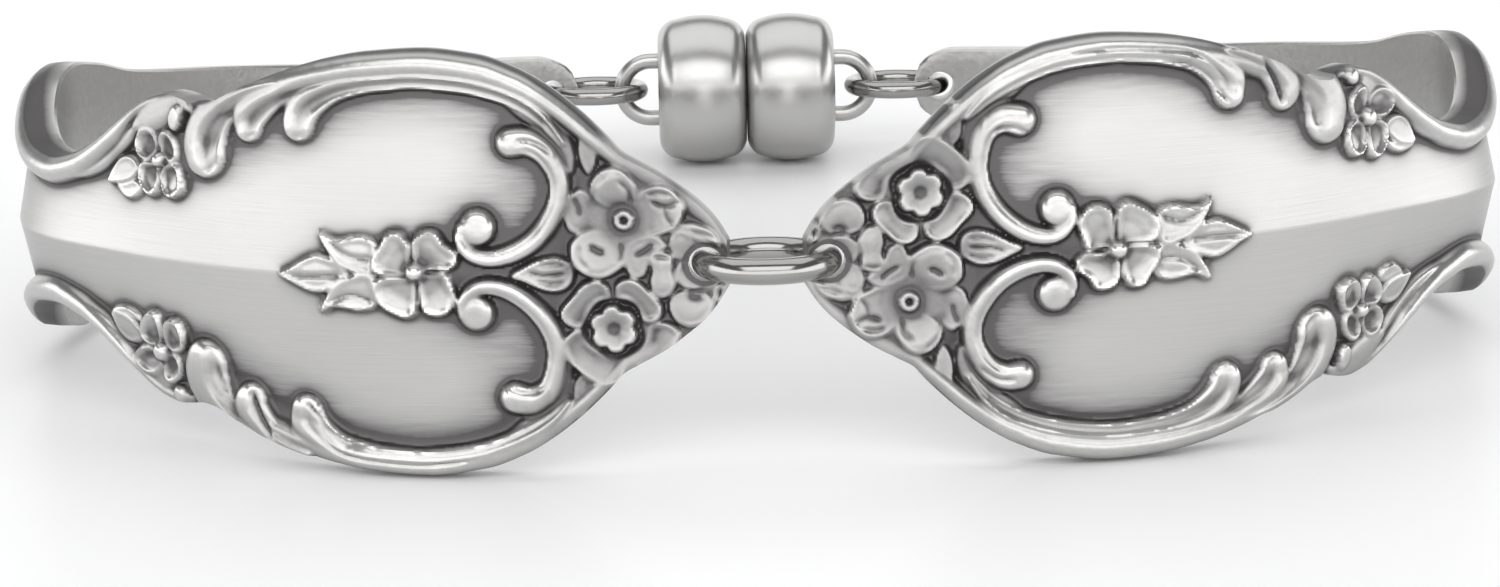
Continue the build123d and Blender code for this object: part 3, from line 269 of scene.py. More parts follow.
def smooth(rows, col, at):
    """Smooth curve through one column of a table, without overshoot."""
    x = np.array([r[0] for r in rows], float)
    y = np.array([r[col] for r in rows], float)
    h = np.diff(x)
    d = np.diff(y) / h
    m = np.zeros_like(y)
    same = d[:-1] * d[1:] > 0
    safe = np.where(same, d[:-1] + d[1:], 1.0)
    m[1:-1] = np.where(same, 2 * d[:-1] * d[1:] / safe, 0.0)
    m[0], m[-1] = d[0], d[-1]
    at = np.clip(at, x[0], x[-1])
    i = np.clip(np.searchsorted(x, at, side="right") - 1, 0, len(h) - 1)
    s = (at - x[i]) / h[i]
    return ((2*s**3 - 3*s**2 + 1) * y[i] + (s**3 - 2*s**2 + s) * h[i] * m[i]
            + (3*s**2 - 2*s**3) * y[i + 1] + (s**3 - s**2) * h[i] * m[i + 1])


def dome(r2, power=1.0):
    """Round profile: 1 at the middle, 0 at and beyond the rim."""
    return np.sqrt(np.clip(1.0 - r2 ** power, 0.0, 1.0))


def curve(nodes, closed=False, cuts=5):
    """Points of a smooth curve through the nodes."""
    n = len(nodes)
    pts = []
    for i in range(n if closed else n - 1):
        if closed:
            four = [nodes[(i + k) % n] for k in (-1, 0, 1, 2)]
        else:
            four = [nodes[min(max(i + k, 0), n - 1)] for k in (-1, 0, 1, 2)]
        for k in range(cuts):
            t = k / cuts
            pts.append([0.5 * (2*b + (c-a)*t + (2*a-5*b+4*c-d)*t*t + (3*b-a-3*c+d)*t**3)
                        for a, b, c, d in zip(*four)])
    pts.append(list(nodes[0] if closed else nodes[-1]))
    return pts


def stroke_height(u, v, nodes, top, hollow):
    """Tapered round stroke through its nodes, with a hollow that runs along it."""
    depth, offset, width, start = hollow
    pts = curve(nodes)
    best = np.full(u.shape, 9.0)
    hole = np.zeros(u.shape)
    for k, (a, b) in enumerate(zip(pts[:-1], pts[1:])):
        du, dv = b[0] - a[0], b[1] - a[1]
        t = np.clip(((u - a[0]) * du + (v - a[1]) * dv) / (du*du + dv*dv), 0, 1)
        r = a[2] + (b[2] - a[2]) * t
        d2 = ((u - a[0] - du*t)**2 + (v - a[1] - dv*t)**2) / (r * r)
        near = d2 < best
        best = np.where(near, d2, best)
        if depth:
            lat = (du * (v - a[1]) - dv * (u - a[0])) / (math.hypot(du, dv) * r)
            dig = np.clip((k + t - start) / 4, 0, 1) * np.exp(-((lat - offset) / width) ** 4)
            dig *= np.clip((0.85 - d2) / 0.35, 0, 1)
            hole = np.where(near, dig, hole)
    h = 0.04 + (top - 0.04) * dome(best, 1.5) - depth * hole
    return np.where(best < 1, h, -9.0)


def pad_height(u, v, nodes, top, swell, dish, centre):
    """Petal or leaf inside a closed outline: steep edge and a fall to the flower's middle."""
    pts = curve(nodes, closed=True, cuts=4)
    near = np.full(u.shape, 9.0)
    inside = np.zeros(u.shape, bool)
    for a, b in zip(pts[:-1], pts[1:]):
        du, dv = b[0] - a[0], b[1] - a[1]
        t = np.clip(((u - a[0]) * du + (v - a[1]) * dv) / (du*du + dv*dv + 1e-12), 0, 1)
        near = np.minimum(near, np.hypot(u - a[0] - du*t, v - a[1] - dv*t))
        if dv:
            inside ^= ((a[1] > v) != (b[1] > v)) & (u < du * (v - a[1]) / dv + a[0])
    near = np.where(inside, near, -near) + PAD_MARGIN
    away = np.hypot(u - centre[0], v - centre[1])
    reach = [math.hypot(p[0] - centre[0], p[1] - centre[1]) for p in pts]
    fall = np.clip((max(reach) - away) / (max(reach) - min(reach)) - 0.12, 0, 1)
    shoulder = np.clip(near / PAD_EDGE, 0, 1)
    h = (top - dish * fall ** 1.2) * np.sqrt(1 - (1 - shoulder) ** 2)
    for rise, at, width in (PAD_LIP, PAD_FLUTE):
        h += rise * np.exp(-((near - at) / width) ** 2)
    if swell < 0:
        bowl = np.clip((near - BOWL_START) / BOWL_SLOPE, 0, 1)
        h += swell * bowl * bowl * (3 - 2 * bowl) * (0.55 + 0.9 * fall)
    else:
        inner = np.clip(near / SWELL_SLOPE, 0, 1)
        h += swell * inner * (2 - inner)
    return np.where(near > 0, h, -9.0)


def groove_depth(u, v, nodes, depth, width):
    """Depth of one fine engraved line, fading at both ends."""
    pts = curve(nodes)
    best = np.full(u.shape, 9.0)
    for k, (a, b) in enumerate(zip(pts[:-1], pts[1:])):
        du, dv = b[0] - a[0], b[1] - a[1]
        t = np.clip(((u - a[0]) * du + (v - a[1]) * dv) / (du*du + dv*dv), 0, 1)
        s = (k + t) / (len(pts) - 1)
        slim = width * np.clip(6 * s * (1 - s) + 0.05, 0.05, 1)
        best = np.minimum(best, np.hypot(u - a[0] - du*t, v - a[1] - dv*t) / slim)
    return depth * np.exp(-best ** 2)


def relief(u, v):
    """Height of the outer face above the handle's reference surface."""
    half = smooth(OUTLINE, 1, u)
    crease = smooth(PANEL, 3, u)
    z = smooth(PANEL, 1, u) - smooth(PANEL, 2, u) * np.abs(v - crease)
    # dip of the panel along its border
    inset = half - np.abs(v)
    deep, at, width = PANEL_DIP
    z = z - deep * np.exp(-((inset - at) / width) ** 2) * (u > 8) * (u < 24)
    ground = z.copy()

    def near(nodes, room):
        """Points close enough to a feature to be worked out."""
        us = [n[0] for n in nodes]
        vs = [n[1] for n in nodes]
        return (u > min(us) - room) & (u < max(us) + room) & (v > min(vs) - room) & (v < max(vs) + room)

    def stand(at, cover):
        """Let a feature, given as height over the ground, stand on it."""
        z[at] = np.maximum(z[at], ground[at] + cover)

    # border roll
    e0, r, top = (smooth(BORDER, c, u) for c in (1, 2, 3))
    q = ((inset - e0) / r) ** 2
    np.maximum(z, np.where(q < 1, BORDER_FOOT + (top - BORDER_FOOT) * dome(q), -9.0), out=z)
    for _, top, hollow, nodes in STROKES:
        at = near(nodes, 1.3)
        if at.any():
            stand(at, stroke_height(u[at], v[at], nodes, top, hollow))
    for cu, cv, ru, rv, top in MOUNDS:
        q = ((u - cu) / ru) ** 2 + ((v - cv) / rv) ** 2
        rise = np.clip(1.35 - q, 0, 1)
        z[:] = np.maximum(z, ground + top * rise * rise * (3 - 2 * rise))
    for name, top, swell, dish, nodes in PADS:
        at = near(nodes, 0.5)
        if at.any():
            centre = FLOWERS[name.split("_")[0]]
            stand(at, pad_height(u[at], v[at], nodes, top, swell, dish, centre))
    for cu, cv, r, deep in THROATS:
        open_by = np.clip(1 - np.hypot(u - cu, v - cv) / r, 0, 1)
        z -= deep * open_by ** 1.3 * np.clip((z - ground + 0.1) / 0.4, 0, 1)
    for depth, width, nodes in GROOVES:
        at = near(nodes, 0.6)
        if at.any():
            z[at] -= groove_depth(u[at], v[at], nodes, depth, width)
    # scalloped cup in its cleared ring
    cu, cv, R, top = CUP
    d = np.hypot(u - cu, v - cv)
    ang = np.arctan2(v - cv, u - cu)
    moat = CUP_RING + 0.07 * np.cos(5 * ang + 0.9) + 0.05 * np.cos(3 * ang)
    z -= np.clip(z - ground + 0.06, 0, 9) * np.clip((moat - d) / CUP_RING_SLOPE, 0, 1)
    rim = R * (1 - CUP_SCALLOP * (1 - np.abs(np.cos(3 * (ang - CUP_TURN)))) ** 1.5)
    q = (d / rim) ** 2
    bowl = np.clip(1 - (d / (0.45 * rim + 0.45 * R)) ** 2, 0, 1)
    cup = 0.05 + (top - 0.05) * dome(q, 6) - CUP_BOWL * bowl - CUP_PIT * np.exp(-(d / 0.3) ** 2)
    z[:] = np.where(q < 1, np.maximum(z, ground + cup), z)
    for cu, cv, r, top in BEADS:
        q = ((u - cu) ** 2 + (v - cv) ** 2) / (r * r)
        z[:] = np.where(q < 1, np.maximum(z, ground + 0.1 + (top - 0.1) * dome(q, 2)), z)
    cu, cv, R, ri, top = TUBE
    d = np.hypot(u - cu, v - cv)
    tube = 0.05 + (top - 0.05) * dome((d / R) ** 2, 4) - TUBE_BORE * np.exp(-(d / ri) ** 4)
    deep, at, width = TUBE_LINE
    tube -= deep * np.exp(-((d - at) / width) ** 2)
    z[:] = np.where(d < R, np.maximum(z, ground + tube), z)
    # sunk ring round the drilled hole
    d = np.hypot(u - HOLE[0], v - HOLE[1])
    rim, low, slope = HOLE_RING
    z[:] = np.where(d < rim, np.minimum(z, low + slope * d), z)
    return z


# Half the gap between the two tips, and the length along one handle.
TIP_X = 1.72
HANDLE_LENGTH = 87.4
# The loop stands on the lobes' lower edges and on the clasp, so its plane slopes to the rear.
REST_TILT = math.radians(5.990)
REST_SHIFT = (0.0, -27.494, 9.793)

# Bend in plan: distance from tip, heading in degrees (0 along X, 90 to the rear).
BEND = [
    (0.0, 8.0), (6.0, 6.5), (12.0, 4.0), (18.0, 19.0), (24.0, 37.5), (29.0, 42.0),
    (33.0, 45.0), (37.0, 65.0), (41.0, 88.0), (46.0, 106.5), (54.0, 112.0), (64.0, 118.5),
    (76.0, 138.0), (87.4, 170.0)]
# Back face: distance from tip, depth of the edge, depth of the middle.
BACK = [
    (0.0, -0.80, -0.80), (5.0, -0.85, -0.80), (14.0, -0.90, -0.72), (27.0, -1.00, -0.85),
    (36.0, -1.15, -1.10), (46.0, -1.10, -1.00), (62.0, -1.10, -1.15), (87.4, -0.95, -1.05)]
step_u = np.linspace(0.0, HANDLE_LENGTH, 1749)
step_t = np.radians(np.interp(step_u, [r[0] for r in BEND], [r[1] for r in BEND]))
mid_t = (step_t[1:] + step_t[:-1]) / 2
step_x = TIP_X + np.concatenate([[0.0], np.cumsum(np.cos(mid_t) * np.diff(step_u))])
step_y = np.concatenate([[0.0], np.cumsum(np.sin(mid_t) * np.diff(step_u))])


def place(u, v, w):
    """Bend a flat point (along, across, outward) to the left handle's curve."""
    t = np.interp(u, step_u, step_t)
    x = np.interp(u, step_u, step_x) + w * np.sin(t)
    y = np.interp(u, step_u, step_y) - w * np.cos(t)
    return np.stack([-x, y, v], axis=-1)


def at_rest(p):
    """From the loop's own plane to the resting place, millimetres to metres."""
    c, s = math.cos(REST_TILT), math.sin(REST_TILT)
    y = p[..., 1] * c + p[..., 2] * s + REST_SHIFT[1]
    z = -p[..., 1] * s + p[..., 2] * c + REST_SHIFT[2]
    return np.stack([p[..., 0], y, z], axis=-1) / 1000


# The outer face's height on an even grid of the flat pattern, softened like worn metal.
PITCH, WEAR = 0.05, 0.055
GRID_U, GRID_V = (-0.6, 50.7), (-10.2, 10.25)
gu, gv = np.meshgrid(np.arange(*GRID_U, PITCH), np.arange(*GRID_V, PITCH), indexing="ij")
half_grid = smooth(OUTLINE, 1, gu)
sharp = relief(np.clip(gu, 0, None), np.clip(gv, -half_grid, half_grid))


def blurred(a, sigma):
    """Gaussian blur of the even grid, sigma in grid steps."""
    k = int(3 * sigma)
    g = np.exp(-np.arange(-k, k + 1) ** 2 / (2 * sigma * sigma))
    g /= g.sum()
    p = np.pad(a, k, mode="edge")
    p = sum(g[i] * p[i:p.shape[0] - 2*k + i, :] for i in range(2*k + 1))
    return sum(g[i] * p[:, i:p.shape[1] - 2*k + i] for i in range(2*k + 1))


def sampled(a, u, v):
    """Even-grid values at given flat points."""
    fi = np.clip((u - GRID_U[0]) / PITCH, 0, a.shape[0] - 1.001)
    fj = np.clip((v - GRID_V[0]) / PITCH, 0, a.shape[1] - 1.001)
    i, j = fi.astype(int), fj.astype(int)
    p, q = fi - i, fj - j
    return ((a[i, j] * (1 - q) + a[i, j + 1] * q) * (1 - p)
            + (a[i + 1, j] * (1 - q) + a[i + 1, j + 1] * q) * p)


field = blurred(sharp, WEAR / PITCH)

# Rows along the handle: from, to, how many; then columns on the outer and back face.
ROWS = [(0.0, 10.0, 118), (10.0, 31.0, 205), (31.0, 50.0, 50), (50.0, 84.0, 30), (84.0, 87.4, 12)]
N_OUT, N_BACK = 214, 10
# End of the ornament, height of the outer face at its very edge, radius of the edge.
RELIEF_END = 50.0
EDGE_LOW, EDGE_ROUND = -0.14, 0.12
rows = np.concatenate([np.linspace(a, b, n, endpoint=False) for a, b, n in ROWS] + [[HANDLE_LENGTH]])
x = np.linspace(-1.0, 1.0, N_OUT + 1)
t_out = 0.85 * x + 0.15 * np.sin(x * math.pi / 2)
t_back = np.linspace(1.0, -1.0, N_BACK + 1)[1:-1]
u_out, t_grid = np.meshgrid(rows, t_out, indexing="ij")
v_out = t_grid * smooth(OUTLINE, 1, u_out)
w_out = np.where(u_out < RELIEF_END, sampled(field, u_out, v_out), relief(u_out, v_out))
w_out[:, 0] = w_out[:, -1] = EDGE_LOW
u_back, tb_grid = np.meshgrid(rows, t_back, indexing="ij")
v_back = tb_grid * smooth(OUTLINE, 1, u_back)
edge, middle = smooth(BACK, 1, u_back), smooth(BACK, 2, u_back)
w_back = middle + (edge - middle) * tb_grid ** 2
# the edges get a narrow rounded wall between the two faces
back_rows, half_rows = smooth(BACK, 1, rows), smooth(OUTLINE, 1, rows)
wall_u = np.stack([rows, rows], 1)
wall_v = [half_rows, half_rows - EDGE_ROUND]
wall_w = [back_rows + EDGE_ROUND, back_rows]
cols_u = [u_out, wall_u, u_back, wall_u]
cols_v = [v_out, np.stack(wall_v, 1), v_back, -np.stack(wall_v[::-1], 1)]
cols_w = [w_out, np.stack(wall_w, 1), w_back, np.stack(wall_w[::-1], 1)]
U = np.concatenate(cols_u, 1)
V = np.concatenate(cols_v, 1)
W = np.concatenate(cols_w, 1)
n_rows, n_cols = U.shape

# Toning and painted shade: dark toning settles in hollows and on the ground beside the relief, painted
# shade darkens the bowls of petals and claws and the drilled bores, and crests are rubbed lighter with
# a painted highlight.
# Reach of the toning in fine lines and of the painted shade in cups, and of the halo far, wide and
# narrow.
FINE_REACH, BOWL_SHADE_REACH = 0.22, 0.45
HALO_REACH = (2.2, 1.2, 0.35)
FAR_SHARE, WIDE_SHARE, NARROW_SHARE = 2.0, 1.15, 0.45
# Height over the ground up to which the far halo counts, and sunkenness that is wholly dark.
OPEN_BELOW, HALO_FULL = 0.12, 0.60
# The middle leaves run together here; toning and painted shade are lifted off their joint, a painted
# lightening of the notch.
LEAF_JOINT = (16.35, -0.30)
# Bead or tube at a flower's middle, which stays bright, and the dark round it: radii.
BEAD_CLEAR, THROAT_DARK = 0.42, 1.35
# Edge of the painted shade in and round the bore, and thickness over the panel that still counts as
# panel.
BORE_SHADE, PANEL_SKIN = 1.02, 0.11
fine = blurred(sharp, FINE_REACH / PITCH) - field
ground = smooth(PANEL, 1, gu) - smooth(PANEL, 2, gu) * np.abs(gv - smooth(PANEL, 3, gu))
stand_up = np.clip(sharp - ground, 0, 1)
far, wide, narrow = (blurred(stand_up, reach / PITCH) for reach in HALO_REACH)
open_ground = np.clip(1 - stand_up / OPEN_BELOW, 0, 1)
sunk = WIDE_SHARE * wide + NARROW_SHARE * narrow - (field - ground)
sunk += FAR_SHARE * np.clip(far - 0.10, 0, 1) * open_ground
# painted shade: darker where the surface sits below its surroundings, in the bowls of petals and the
# hollows of claws
bowl_shade = blurred(field, BOWL_SHADE_REACH / PITCH) - field
# one mask holds both the toning in fine lines and the painted shade of the bowls and the bore
patina_and_shade = np.clip(sampled(fine, U, V) * 6.5 - 0.10, 0, 1)
patina_and_shade += np.clip(sampled(bowl_shade, U, V) * 3.0, 0, 0.6)
halo = np.clip(sampled(sunk, U, V) / HALO_FULL, 0, 1)
# the flower and leaves in the middle of the panel are wiped cleaner than the rest
halo *= 1 - 0.72 * np.clip((U - 12.2) / 1.6, 0, 1) * np.clip((3.4 - np.abs(V)) / 0.8, 0, 1)
# painted lightening: toning and shade are lifted off the leaves' joint
patina_and_shade *= 1 - 0.8 * np.clip((1.3 - np.hypot(U - LEAF_JOINT[0], V - LEAF_JOINT[1])) / 0.5, 0, 1)
# crests are lightened: rubbed wear and a painted highlight on the rims
crest = np.clip(-sampled(blurred(fine, 0.05 / PITCH), U, V) * 10.0 - 0.12, 0, 1)
outer = np.zeros(U.shape)
outer[:, :N_OUT + 1] = 1.0
# the ground among the flowers at the tip is darker all over, and the bore is darkest: painted shade in
# and round the drilled hole
patina_and_shade += 0.19 * np.clip((8.6 - U) / 0.8, 0, 1)
patina_and_shade += 0.85 * np.clip((BORE_SHADE - np.hypot(U - HOLE[0], V - HOLE[1])) / 0.10, 0, 1)
for cu, cv, r, _ in THROATS:
    away = np.hypot(U - cu, V - cv)
    dark = 0.28 / r * np.clip(1 - away / THROAT_DARK, 0, 1)
    patina_and_shade += dark * np.clip((away - BEAD_CLEAR) / 0.10, 0, 1)
fade = outer * np.clip((RELIEF_END - U) / 10, 0, 1)
patina_and_shade, halo, crest = patina_and_shade * fade, halo * fade, crest * fade
plane = smooth(PANEL, 1, U) - smooth(PANEL, 2, U) * np.abs(V - smooth(PANEL, 3, U))
panel = outer * (U > 7.5) * np.clip(1.3 - np.abs(W - plane) / PANEL_SKIN, 0, 1)

# Drilled holes: distance from tip, radius.
BORES = ((1.0, 0.76), (86.1, 0.80))
BORE_LENGTH = 0.006
index = np.arange(n_rows * n_cols).reshape(n_rows, n_cols)
nxt = np.roll(index, -1, axis=1)
quads = np.stack([index[:-1], nxt[:-1], nxt[1:], index[1:]], -1).reshape(-1, 4)
faces = [tuple(q) for q in quads.tolist()]
faces.append(tuple(index[0, ::-1].tolist()))
faces.append(tuple(index[-1].tolist()))
handles = []
for name, turned in (("handle_left_plate", False), ("handle_right_plate", True)):
    flip = np.array([-1.0, 1.0, -1.0]) if turned else np.ones(3)
    pts = at_rest(place(U, V, W) * flip)
    mesh = bpy.data.meshes.new(name)
    mesh.from_pydata(pts.reshape(-1, 3).tolist(), [], faces)
    for key, values in (("patina_and_shade", patina_and_shade), ("halo", halo), ("crest", crest), ("panel", panel)):
        layer = mesh.attributes.new(key, "FLOAT", "POINT")
        layer.data.foreach_set("value", values.astype(np.float32).ravel())
    uv = mesh.uv_layers.new(name="flat")
    loop_verts = np.zeros(len(mesh.loops), np.int32)
    mesh.loops.foreach_get("vertex_index", loop_verts)
    both = np.stack([U.ravel()[loop_verts], V.ravel()[loop_verts]], -1) / 100
    uv.data.foreach_set("uv", both.astype(np.float32).ravel())
    obj = bpy.data.objects.new(name, mesh)
    bpy.context.scene.collection.objects.link(obj)
    handles.append(obj)
for obj, side in zip(handles, (1, -1)):
    bores = []
    for at, radius in BORES:
        inside = place(np.array(at), np.array(0.0), np.array(-0.2)) * np.array([side, 1, side])
        spot = Vector(at_rest(inside).tolist())
        bpy.ops.mesh.primitive_cylinder_add(
            vertices=64, radius=radius / 1000, depth=BORE_LENGTH, location=spot,
            rotation=(math.pi / 2 - REST_TILT, 0, 0))
        bores.append(bpy.context.object)
        # the bore's wall is painted dark, painted shade inside the drilled hole
        dark = bores[-1].data.attributes.new("patina_and_shade", "FLOAT", "POINT")
        dark.data.foreach_set("value", [0.9] * len(bores[-1].data.vertices))
    for bore in bores:
        bpy.context.view_layer.objects.active = obj
        cut = obj.modifiers.new("bore", "BOOLEAN")
        cut.object = bore
        cut.operation = "DIFFERENCE"
        cut.solver = "EXACT"
        bpy.ops.object.modifier_apply(modifier="bore")
        bpy.data.objects.remove(bore)
    bpy.ops.object.select_all(action="DESELECT")
    obj.select_set(True)
    bpy.context.view_layer.objects.active = obj
    bpy.ops.object.mode_set(mode="EDIT")
    bpy.ops.mesh.select_all(action="SELECT")
    bpy.ops.mesh.normals_make_consistent(inside=False)
    bpy.ops.object.mode_set(mode="OBJECT")
    bpy.ops.object.shade_smooth_by_angle(angle=math.radians(38))
    obj.select_set(False)

# Colours of the plate: polished relief and satin panel, darkest to brightest, rubbed crests
# that also carry a painted highlight, and the dark of toning and painted shade; the most that toning
# and shade cover and that rubbing and highlight brighten.
RELIEF_GREY = (0.38, 0.376, 0.37, 1), (0.54, 0.535, 0.527, 1)
PANEL_GREY = (0.40, 0.396, 0.39, 1), (0.53, 0.525, 0.518, 1)
RUBBED_AND_HIGHLIT = (0.82, 0.815, 0.805, 1)
TONED_AND_SHADED = (0.075, 0.070, 0.072, 1)
TONE_AND_SHADE_MOST, RUB_AND_HIGHLIGHT_MOST = 0.90, 0.34
# Roughness of relief, panel, and toning with painted shade, and how much the hairlines add.
RELIEF_ROUGH, PANEL_ROUGH, TONED_AND_SHADED_ROUGH, HAIR_ROUGH = 0.25, 0.30, 0.50, 0.10
silver = bpy.data.materials.new("silver_plate")
silver.use_nodes = True
nt = silver.node_tree
nt.nodes.clear()


def node(kind, **inputs):
    """Adds a node to the open tree and sets its constants."""
    n = nt.nodes.new(kind)
    for key, value in inputs.items():
        if hasattr(n, key) and key not in n.inputs:
            setattr(n, key, value)
        else:
            n.inputs[key.replace("_", " ")].default_value = value
    return n


def link(a, b):
    """Joins an output socket to an input socket."""
    nt.links.new(a, b)


out = node("ShaderNodeOutputMaterial")
bsdf = node("ShaderNodeBsdfPrincipled", Metallic=1.0)
patina_and_shade_in = node("ShaderNodeAttribute", attribute_name="patina_and_shade")
halo_in = node("ShaderNodeAttribute", attribute_name="halo")
crest_in = node("ShaderNodeAttribute", attribute_name="crest")
panel_in = node("ShaderNodeAttribute", attribute_name="panel")
flat = node("ShaderNodeUVMap", uv_map="flat")


def maths(kind, a, b, c=0.0):
    """A math node on sockets or plain numbers; returns its output."""
    n = nt.nodes.new("ShaderNodeMath")
    n.operation = kind
    for k, value in enumerate((a, b, c)):
        if isinstance(value, (int, float)):
            n.inputs[k].default_value = value
        else:
            link(value, n.inputs[k])
    return n.outputs[0]


def noise(across, along, detail, roughness):
    """Noise on the flat pattern, cells given in millimetres along and across."""
    m = node("ShaderNodeMapping")
    m.inputs["Scale"].default_value = (100 / along, 100 / across, 1.0)
    link(flat.outputs["UV"], m.inputs["Vector"])
    n = node("ShaderNodeTexNoise", Scale=1.0, Detail=detail, Roughness=roughness)
    link(m.outputs["Vector"], n.inputs["Vector"])
    return n.outputs["Fac"]


def blend(kind, a, b, factor):
    """A mix node between two colours or numbers; returns its output."""
    n = node("ShaderNodeMix", data_type=kind)
    for key, value in (("A", a), ("B", b), ("Factor", factor)):
        sockets = [k for k in n.inputs if k.name == key and k.enabled]
        if isinstance(value, (int, float, tuple)):
            sockets[0].default_value = value
        else:
            link(value, sockets[0])
    return [k for k in n.outputs if k.enabled][0]


# brushing lines run along the handle; smudges break up the toned halo beside the relief
lines = noise(0.085, 5.0, 5.0, 0.72)
hairs = noise(0.035, 1.6, 3.0, 0.6)
smudge = noise(0.22, 2.2, 5.0, 0.65)
mottle = noise(0.45, 0.45, 5.0, 0.65)
dents = noise(0.55, 0.55, 2.0, 0.5)
patches = blend("FLOAT", mottle, smudge, panel_in.outputs["Fac"])
toning = maths("MULTIPLY_ADD", patches, 1.0, 0.22)
smoke = maths("MULTIPLY", halo_in.outputs["Fac"], maths("MAXIMUM", toning, 0.15))
# the dark colour laid on is toning and painted shade together
settled_and_shaded = maths("ADD", maths("MULTIPLY", smoke, 0.95), patina_and_shade_in.outputs["Fac"])
tone_and_shade = maths("MINIMUM", settled_and_shaded, TONE_AND_SHADE_MOST)
# rubbed crests lighten towards a pale grey, part wear and part painted highlight
worn_and_highlit = maths("MULTIPLY", crest_in.outputs["Fac"], RUB_AND_HIGHLIGHT_MOST)
polished = blend("RGBA", *RELIEF_GREY, mottle)
satin = blend("RGBA", *PANEL_GREY, lines)
clean = blend("RGBA", polished, satin, panel_in.outputs["Fac"])
bright = blend("RGBA", clean, RUBBED_AND_HIGHLIT, worn_and_highlit)
link(blend("RGBA", bright, TONED_AND_SHADED, tone_and_shade), bsdf.inputs["Base Color"])
# roughness: polished relief, satin panel, dull recesses
base_rough = blend("FLOAT", RELIEF_ROUGH, PANEL_ROUGH, panel_in.outputs["Fac"])
toned_and_shaded_rough = blend("FLOAT", base_rough, TONED_AND_SHADED_ROUGH, tone_and_shade)
link(maths("MULTIPLY_ADD", hairs, HAIR_ROUGH, toned_and_shaded_rough), bsdf.inputs["Roughness"])
brushed = node("ShaderNodeBump", Strength=0.22, Distance=0.00003)
link(maths("MULTIPLY", lines, panel_in.outputs["Fac"]), brushed.inputs["Height"])
dented = node("ShaderNodeBump", Strength=0.30, Distance=0.00008)
link(maths("MULTIPLY", dents, maths("SUBTRACT", 1.0, panel_in.outputs["Fac"])), dented.inputs["Height"])
link(brushed.outputs["Normal"], dented.inputs["Normal"])
link(dented.outputs["Normal"], bsdf.inputs["Normal"])
along = node("ShaderNodeTangent", direction_type="UV_MAP", uv_map="flat")
link(along.outputs["Tangent"], bsdf.inputs["Tangent"])
link(maths("MULTIPLY", panel_in.outputs["Fac"], 0.20), bsdf.inputs["Anisotropic"])
link(bsdf.outputs["BSDF"], out.inputs["Surface"])
for obj, cad_name in zip(handles, ("handle_left", "handle_right")):
    obj.data.materials.append(silver)
    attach(obj, "root")
    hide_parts(cad_name)

# Jump rings: three rings of round plated wire, one through both drilled tips at the front and
# one between each handle's rear end and the clasp; polished, with a little wear.
WIRE_GREY = (0.33, 0.326, 0.32, 1)
WIRE_ROUGH = (0.11, 0.22)
wire = bpy.data.materials.new("ring_wire")
wire.use_nodes = True
nt = wire.node_tree
bsdf = nt.nodes["Principled BSDF"]
bsdf.inputs["Metallic"].default_value = 1.0
bsdf.inputs["Base Color"].default_value = WIRE_GREY
coords = node("ShaderNodeTexCoord")
wear = node("ShaderNodeTexNoise", Scale=1400.0, Detail=5.0, Roughness=0.6)
link(coords.outputs["Object"], wear.inputs["Vector"])
rough = node("ShaderNodeMapRange", To_Min=WIRE_ROUGH[0], To_Max=WIRE_ROUGH[1])
link(wear.outputs["Fac"], rough.inputs["Value"])
link(rough.outputs["Result"], bsdf.inputs["Roughness"])
bump = node("ShaderNodeBump", Strength=0.1, Distance=0.00002)
link(wear.outputs["Fac"], bump.inputs["Height"])
link(bump.outputs["Normal"], bsdf.inputs["Normal"])


def coat(name, metal):
    """Gives a solid its metal."""
    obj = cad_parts[name]
    obj.data.materials.clear()
    obj.data.materials.append(metal)


for name in ("front_ring", "rear_ring_left", "rear_ring_right"):
    coat(name, wire)

# Magnetic clasp: two rounded barrel halves of plated brass that hold by magnets, each with a
# soldered eye loop that a rear ring passes through; duller and paler than the wire.
CLASP_GREY = (0.50, 0.496, 0.488, 1)
CLASP_ROUGH = (0.24, 0.36)
plate = wire.copy()
plate.name = "clasp_plate"
nt = plate.node_tree
nt.nodes["Principled BSDF"].inputs["Base Color"].default_value = CLASP_GREY
rough = nt.nodes["Map Range"]
rough.inputs["To Min"].default_value, rough.inputs["To Max"].default_value = CLASP_ROUGH
for name in ("clasp_half_left", "clasp_half_right"):
    coat(name, plate)

# Floor, light and camera: a pale tabletop under a softbox over the rear and one high in front,
# with bright walls on all four sides; the camera stands where it stood for the photograph.
FLOOR_WHITE = (0.92, 0.92, 0.925, 1)
FLOOR_ROUGH = 0.40
ROOM_GREY = (0.20, 0.202, 0.206, 1)
bpy.ops.mesh.primitive_plane_add(size=6.0, location=(0, 0, 0))
floor = bpy.context.object
floor.name = "floor"
paper = bpy.data.materials.new("floor")
paper.use_nodes = True
paper.node_tree.nodes["Principled BSDF"].inputs["Base Color"].default_value = FLOOR_WHITE
paper.node_tree.nodes["Principled BSDF"].inputs["Roughness"].default_value = FLOOR_ROUGH
floor.data.materials.append(paper)
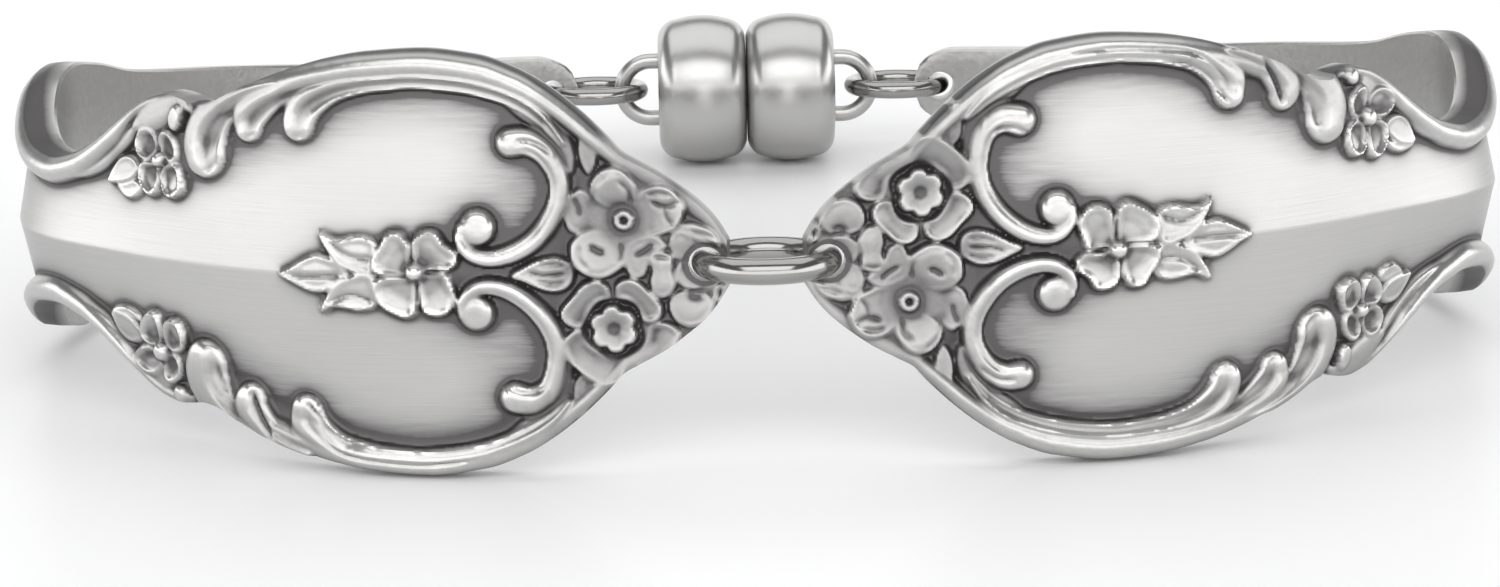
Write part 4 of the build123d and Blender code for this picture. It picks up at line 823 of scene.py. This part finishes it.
# Lamps: name, place, point aimed at, width and height, power in watts.
LAMPS = [
    ("top_softbox", (0.0, 0.22, 0.45), (0, 0.22, 0), (0.7, 0.6), 1.6),
    ("front_softbox", (0.0, -0.42, 0.42), (0, 0, 0), (0.8, 0.35), 1.95),
    ("left_wall", (-0.60, -0.10, 0.13), (0, -0.1, 0.13), (1.0, 0.26), 1.9),
    ("right_wall", (0.60, -0.10, 0.13), (0, -0.1, 0.13), (1.0, 0.26), 1.9),
    ("front_wall", (0.0, -0.60, 0.13), (0, 0, 0.13), (1.2, 0.26), 2.05),
    ("back_wall", (0.0, 0.60, 0.13), (0, 0, 0.13), (1.2, 0.26), 1.1)]
for name, where, aim, size, power in LAMPS:
    bpy.ops.object.light_add(type="AREA", location=where)
    lamp = bpy.context.object
    lamp.name = name
    lamp.data.shape = "RECTANGLE"
    lamp.data.size, lamp.data.size_y = size
    lamp.data.energy = power
    lamp.rotation_euler = (Vector(where) - Vector(aim)).to_track_quat("Z", "Y").to_euler()
world = bpy.data.worlds.new("room")
bpy.context.scene.world = world
world.use_nodes = True
world.node_tree.nodes["Background"].inputs["Color"].default_value = ROOM_GREY
world.node_tree.nodes["Background"].inputs["Strength"].default_value = 1.0

# Camera, in the loop's own plane: direction and roll in degrees, point looked at and distance
# in millimetres, focal length and width of the photograph in its pixels.
AZIMUTH, ELEVATION, ROLL = (math.radians(a) for a in (-0.793, 10.985, -1.21))
LOOKED_AT = np.array([-0.775, 0.0, -1.396])
DISTANCE = 187.14
FOCAL_PIXELS, PHOTO_WIDTH = 4237.4, 1500.0
SENSOR_WIDTH = 36.0
level = math.cos(ELEVATION)
back = np.array([math.sin(AZIMUTH) * level, -math.cos(AZIMUTH) * level, math.sin(ELEVATION)])
side = np.cross(-back, [0, 0, 1.0])
side /= np.linalg.norm(side)
rise = np.cross(side, -back)
right = side * math.cos(ROLL) + rise * math.sin(ROLL)
up = rise * math.cos(ROLL) - side * math.sin(ROLL)
c, s = math.cos(REST_TILT), math.sin(REST_TILT)
spin = np.array([[1, 0, 0], [0, c, s], [0, -s, c]])
spot = at_rest(LOOKED_AT + back * DISTANCE)
axes = np.stack([spin @ right, spin @ up, spin @ back], 1)
bpy.ops.object.camera_add(location=spot.tolist())
camera = bpy.context.object
camera.name = "camera"
camera.rotation_euler = Matrix(axes.tolist()).to_euler()
camera.data.sensor_width = SENSOR_WIDTH
camera.data.lens = FOCAL_PIXELS * SENSOR_WIDTH / PHOTO_WIDTH
camera.data.clip_start = 0.005
camera.data.clip_end = 10.0
bpy.context.scene.camera = camera
bpy.context.scene.view_settings.view_transform = "Standard"
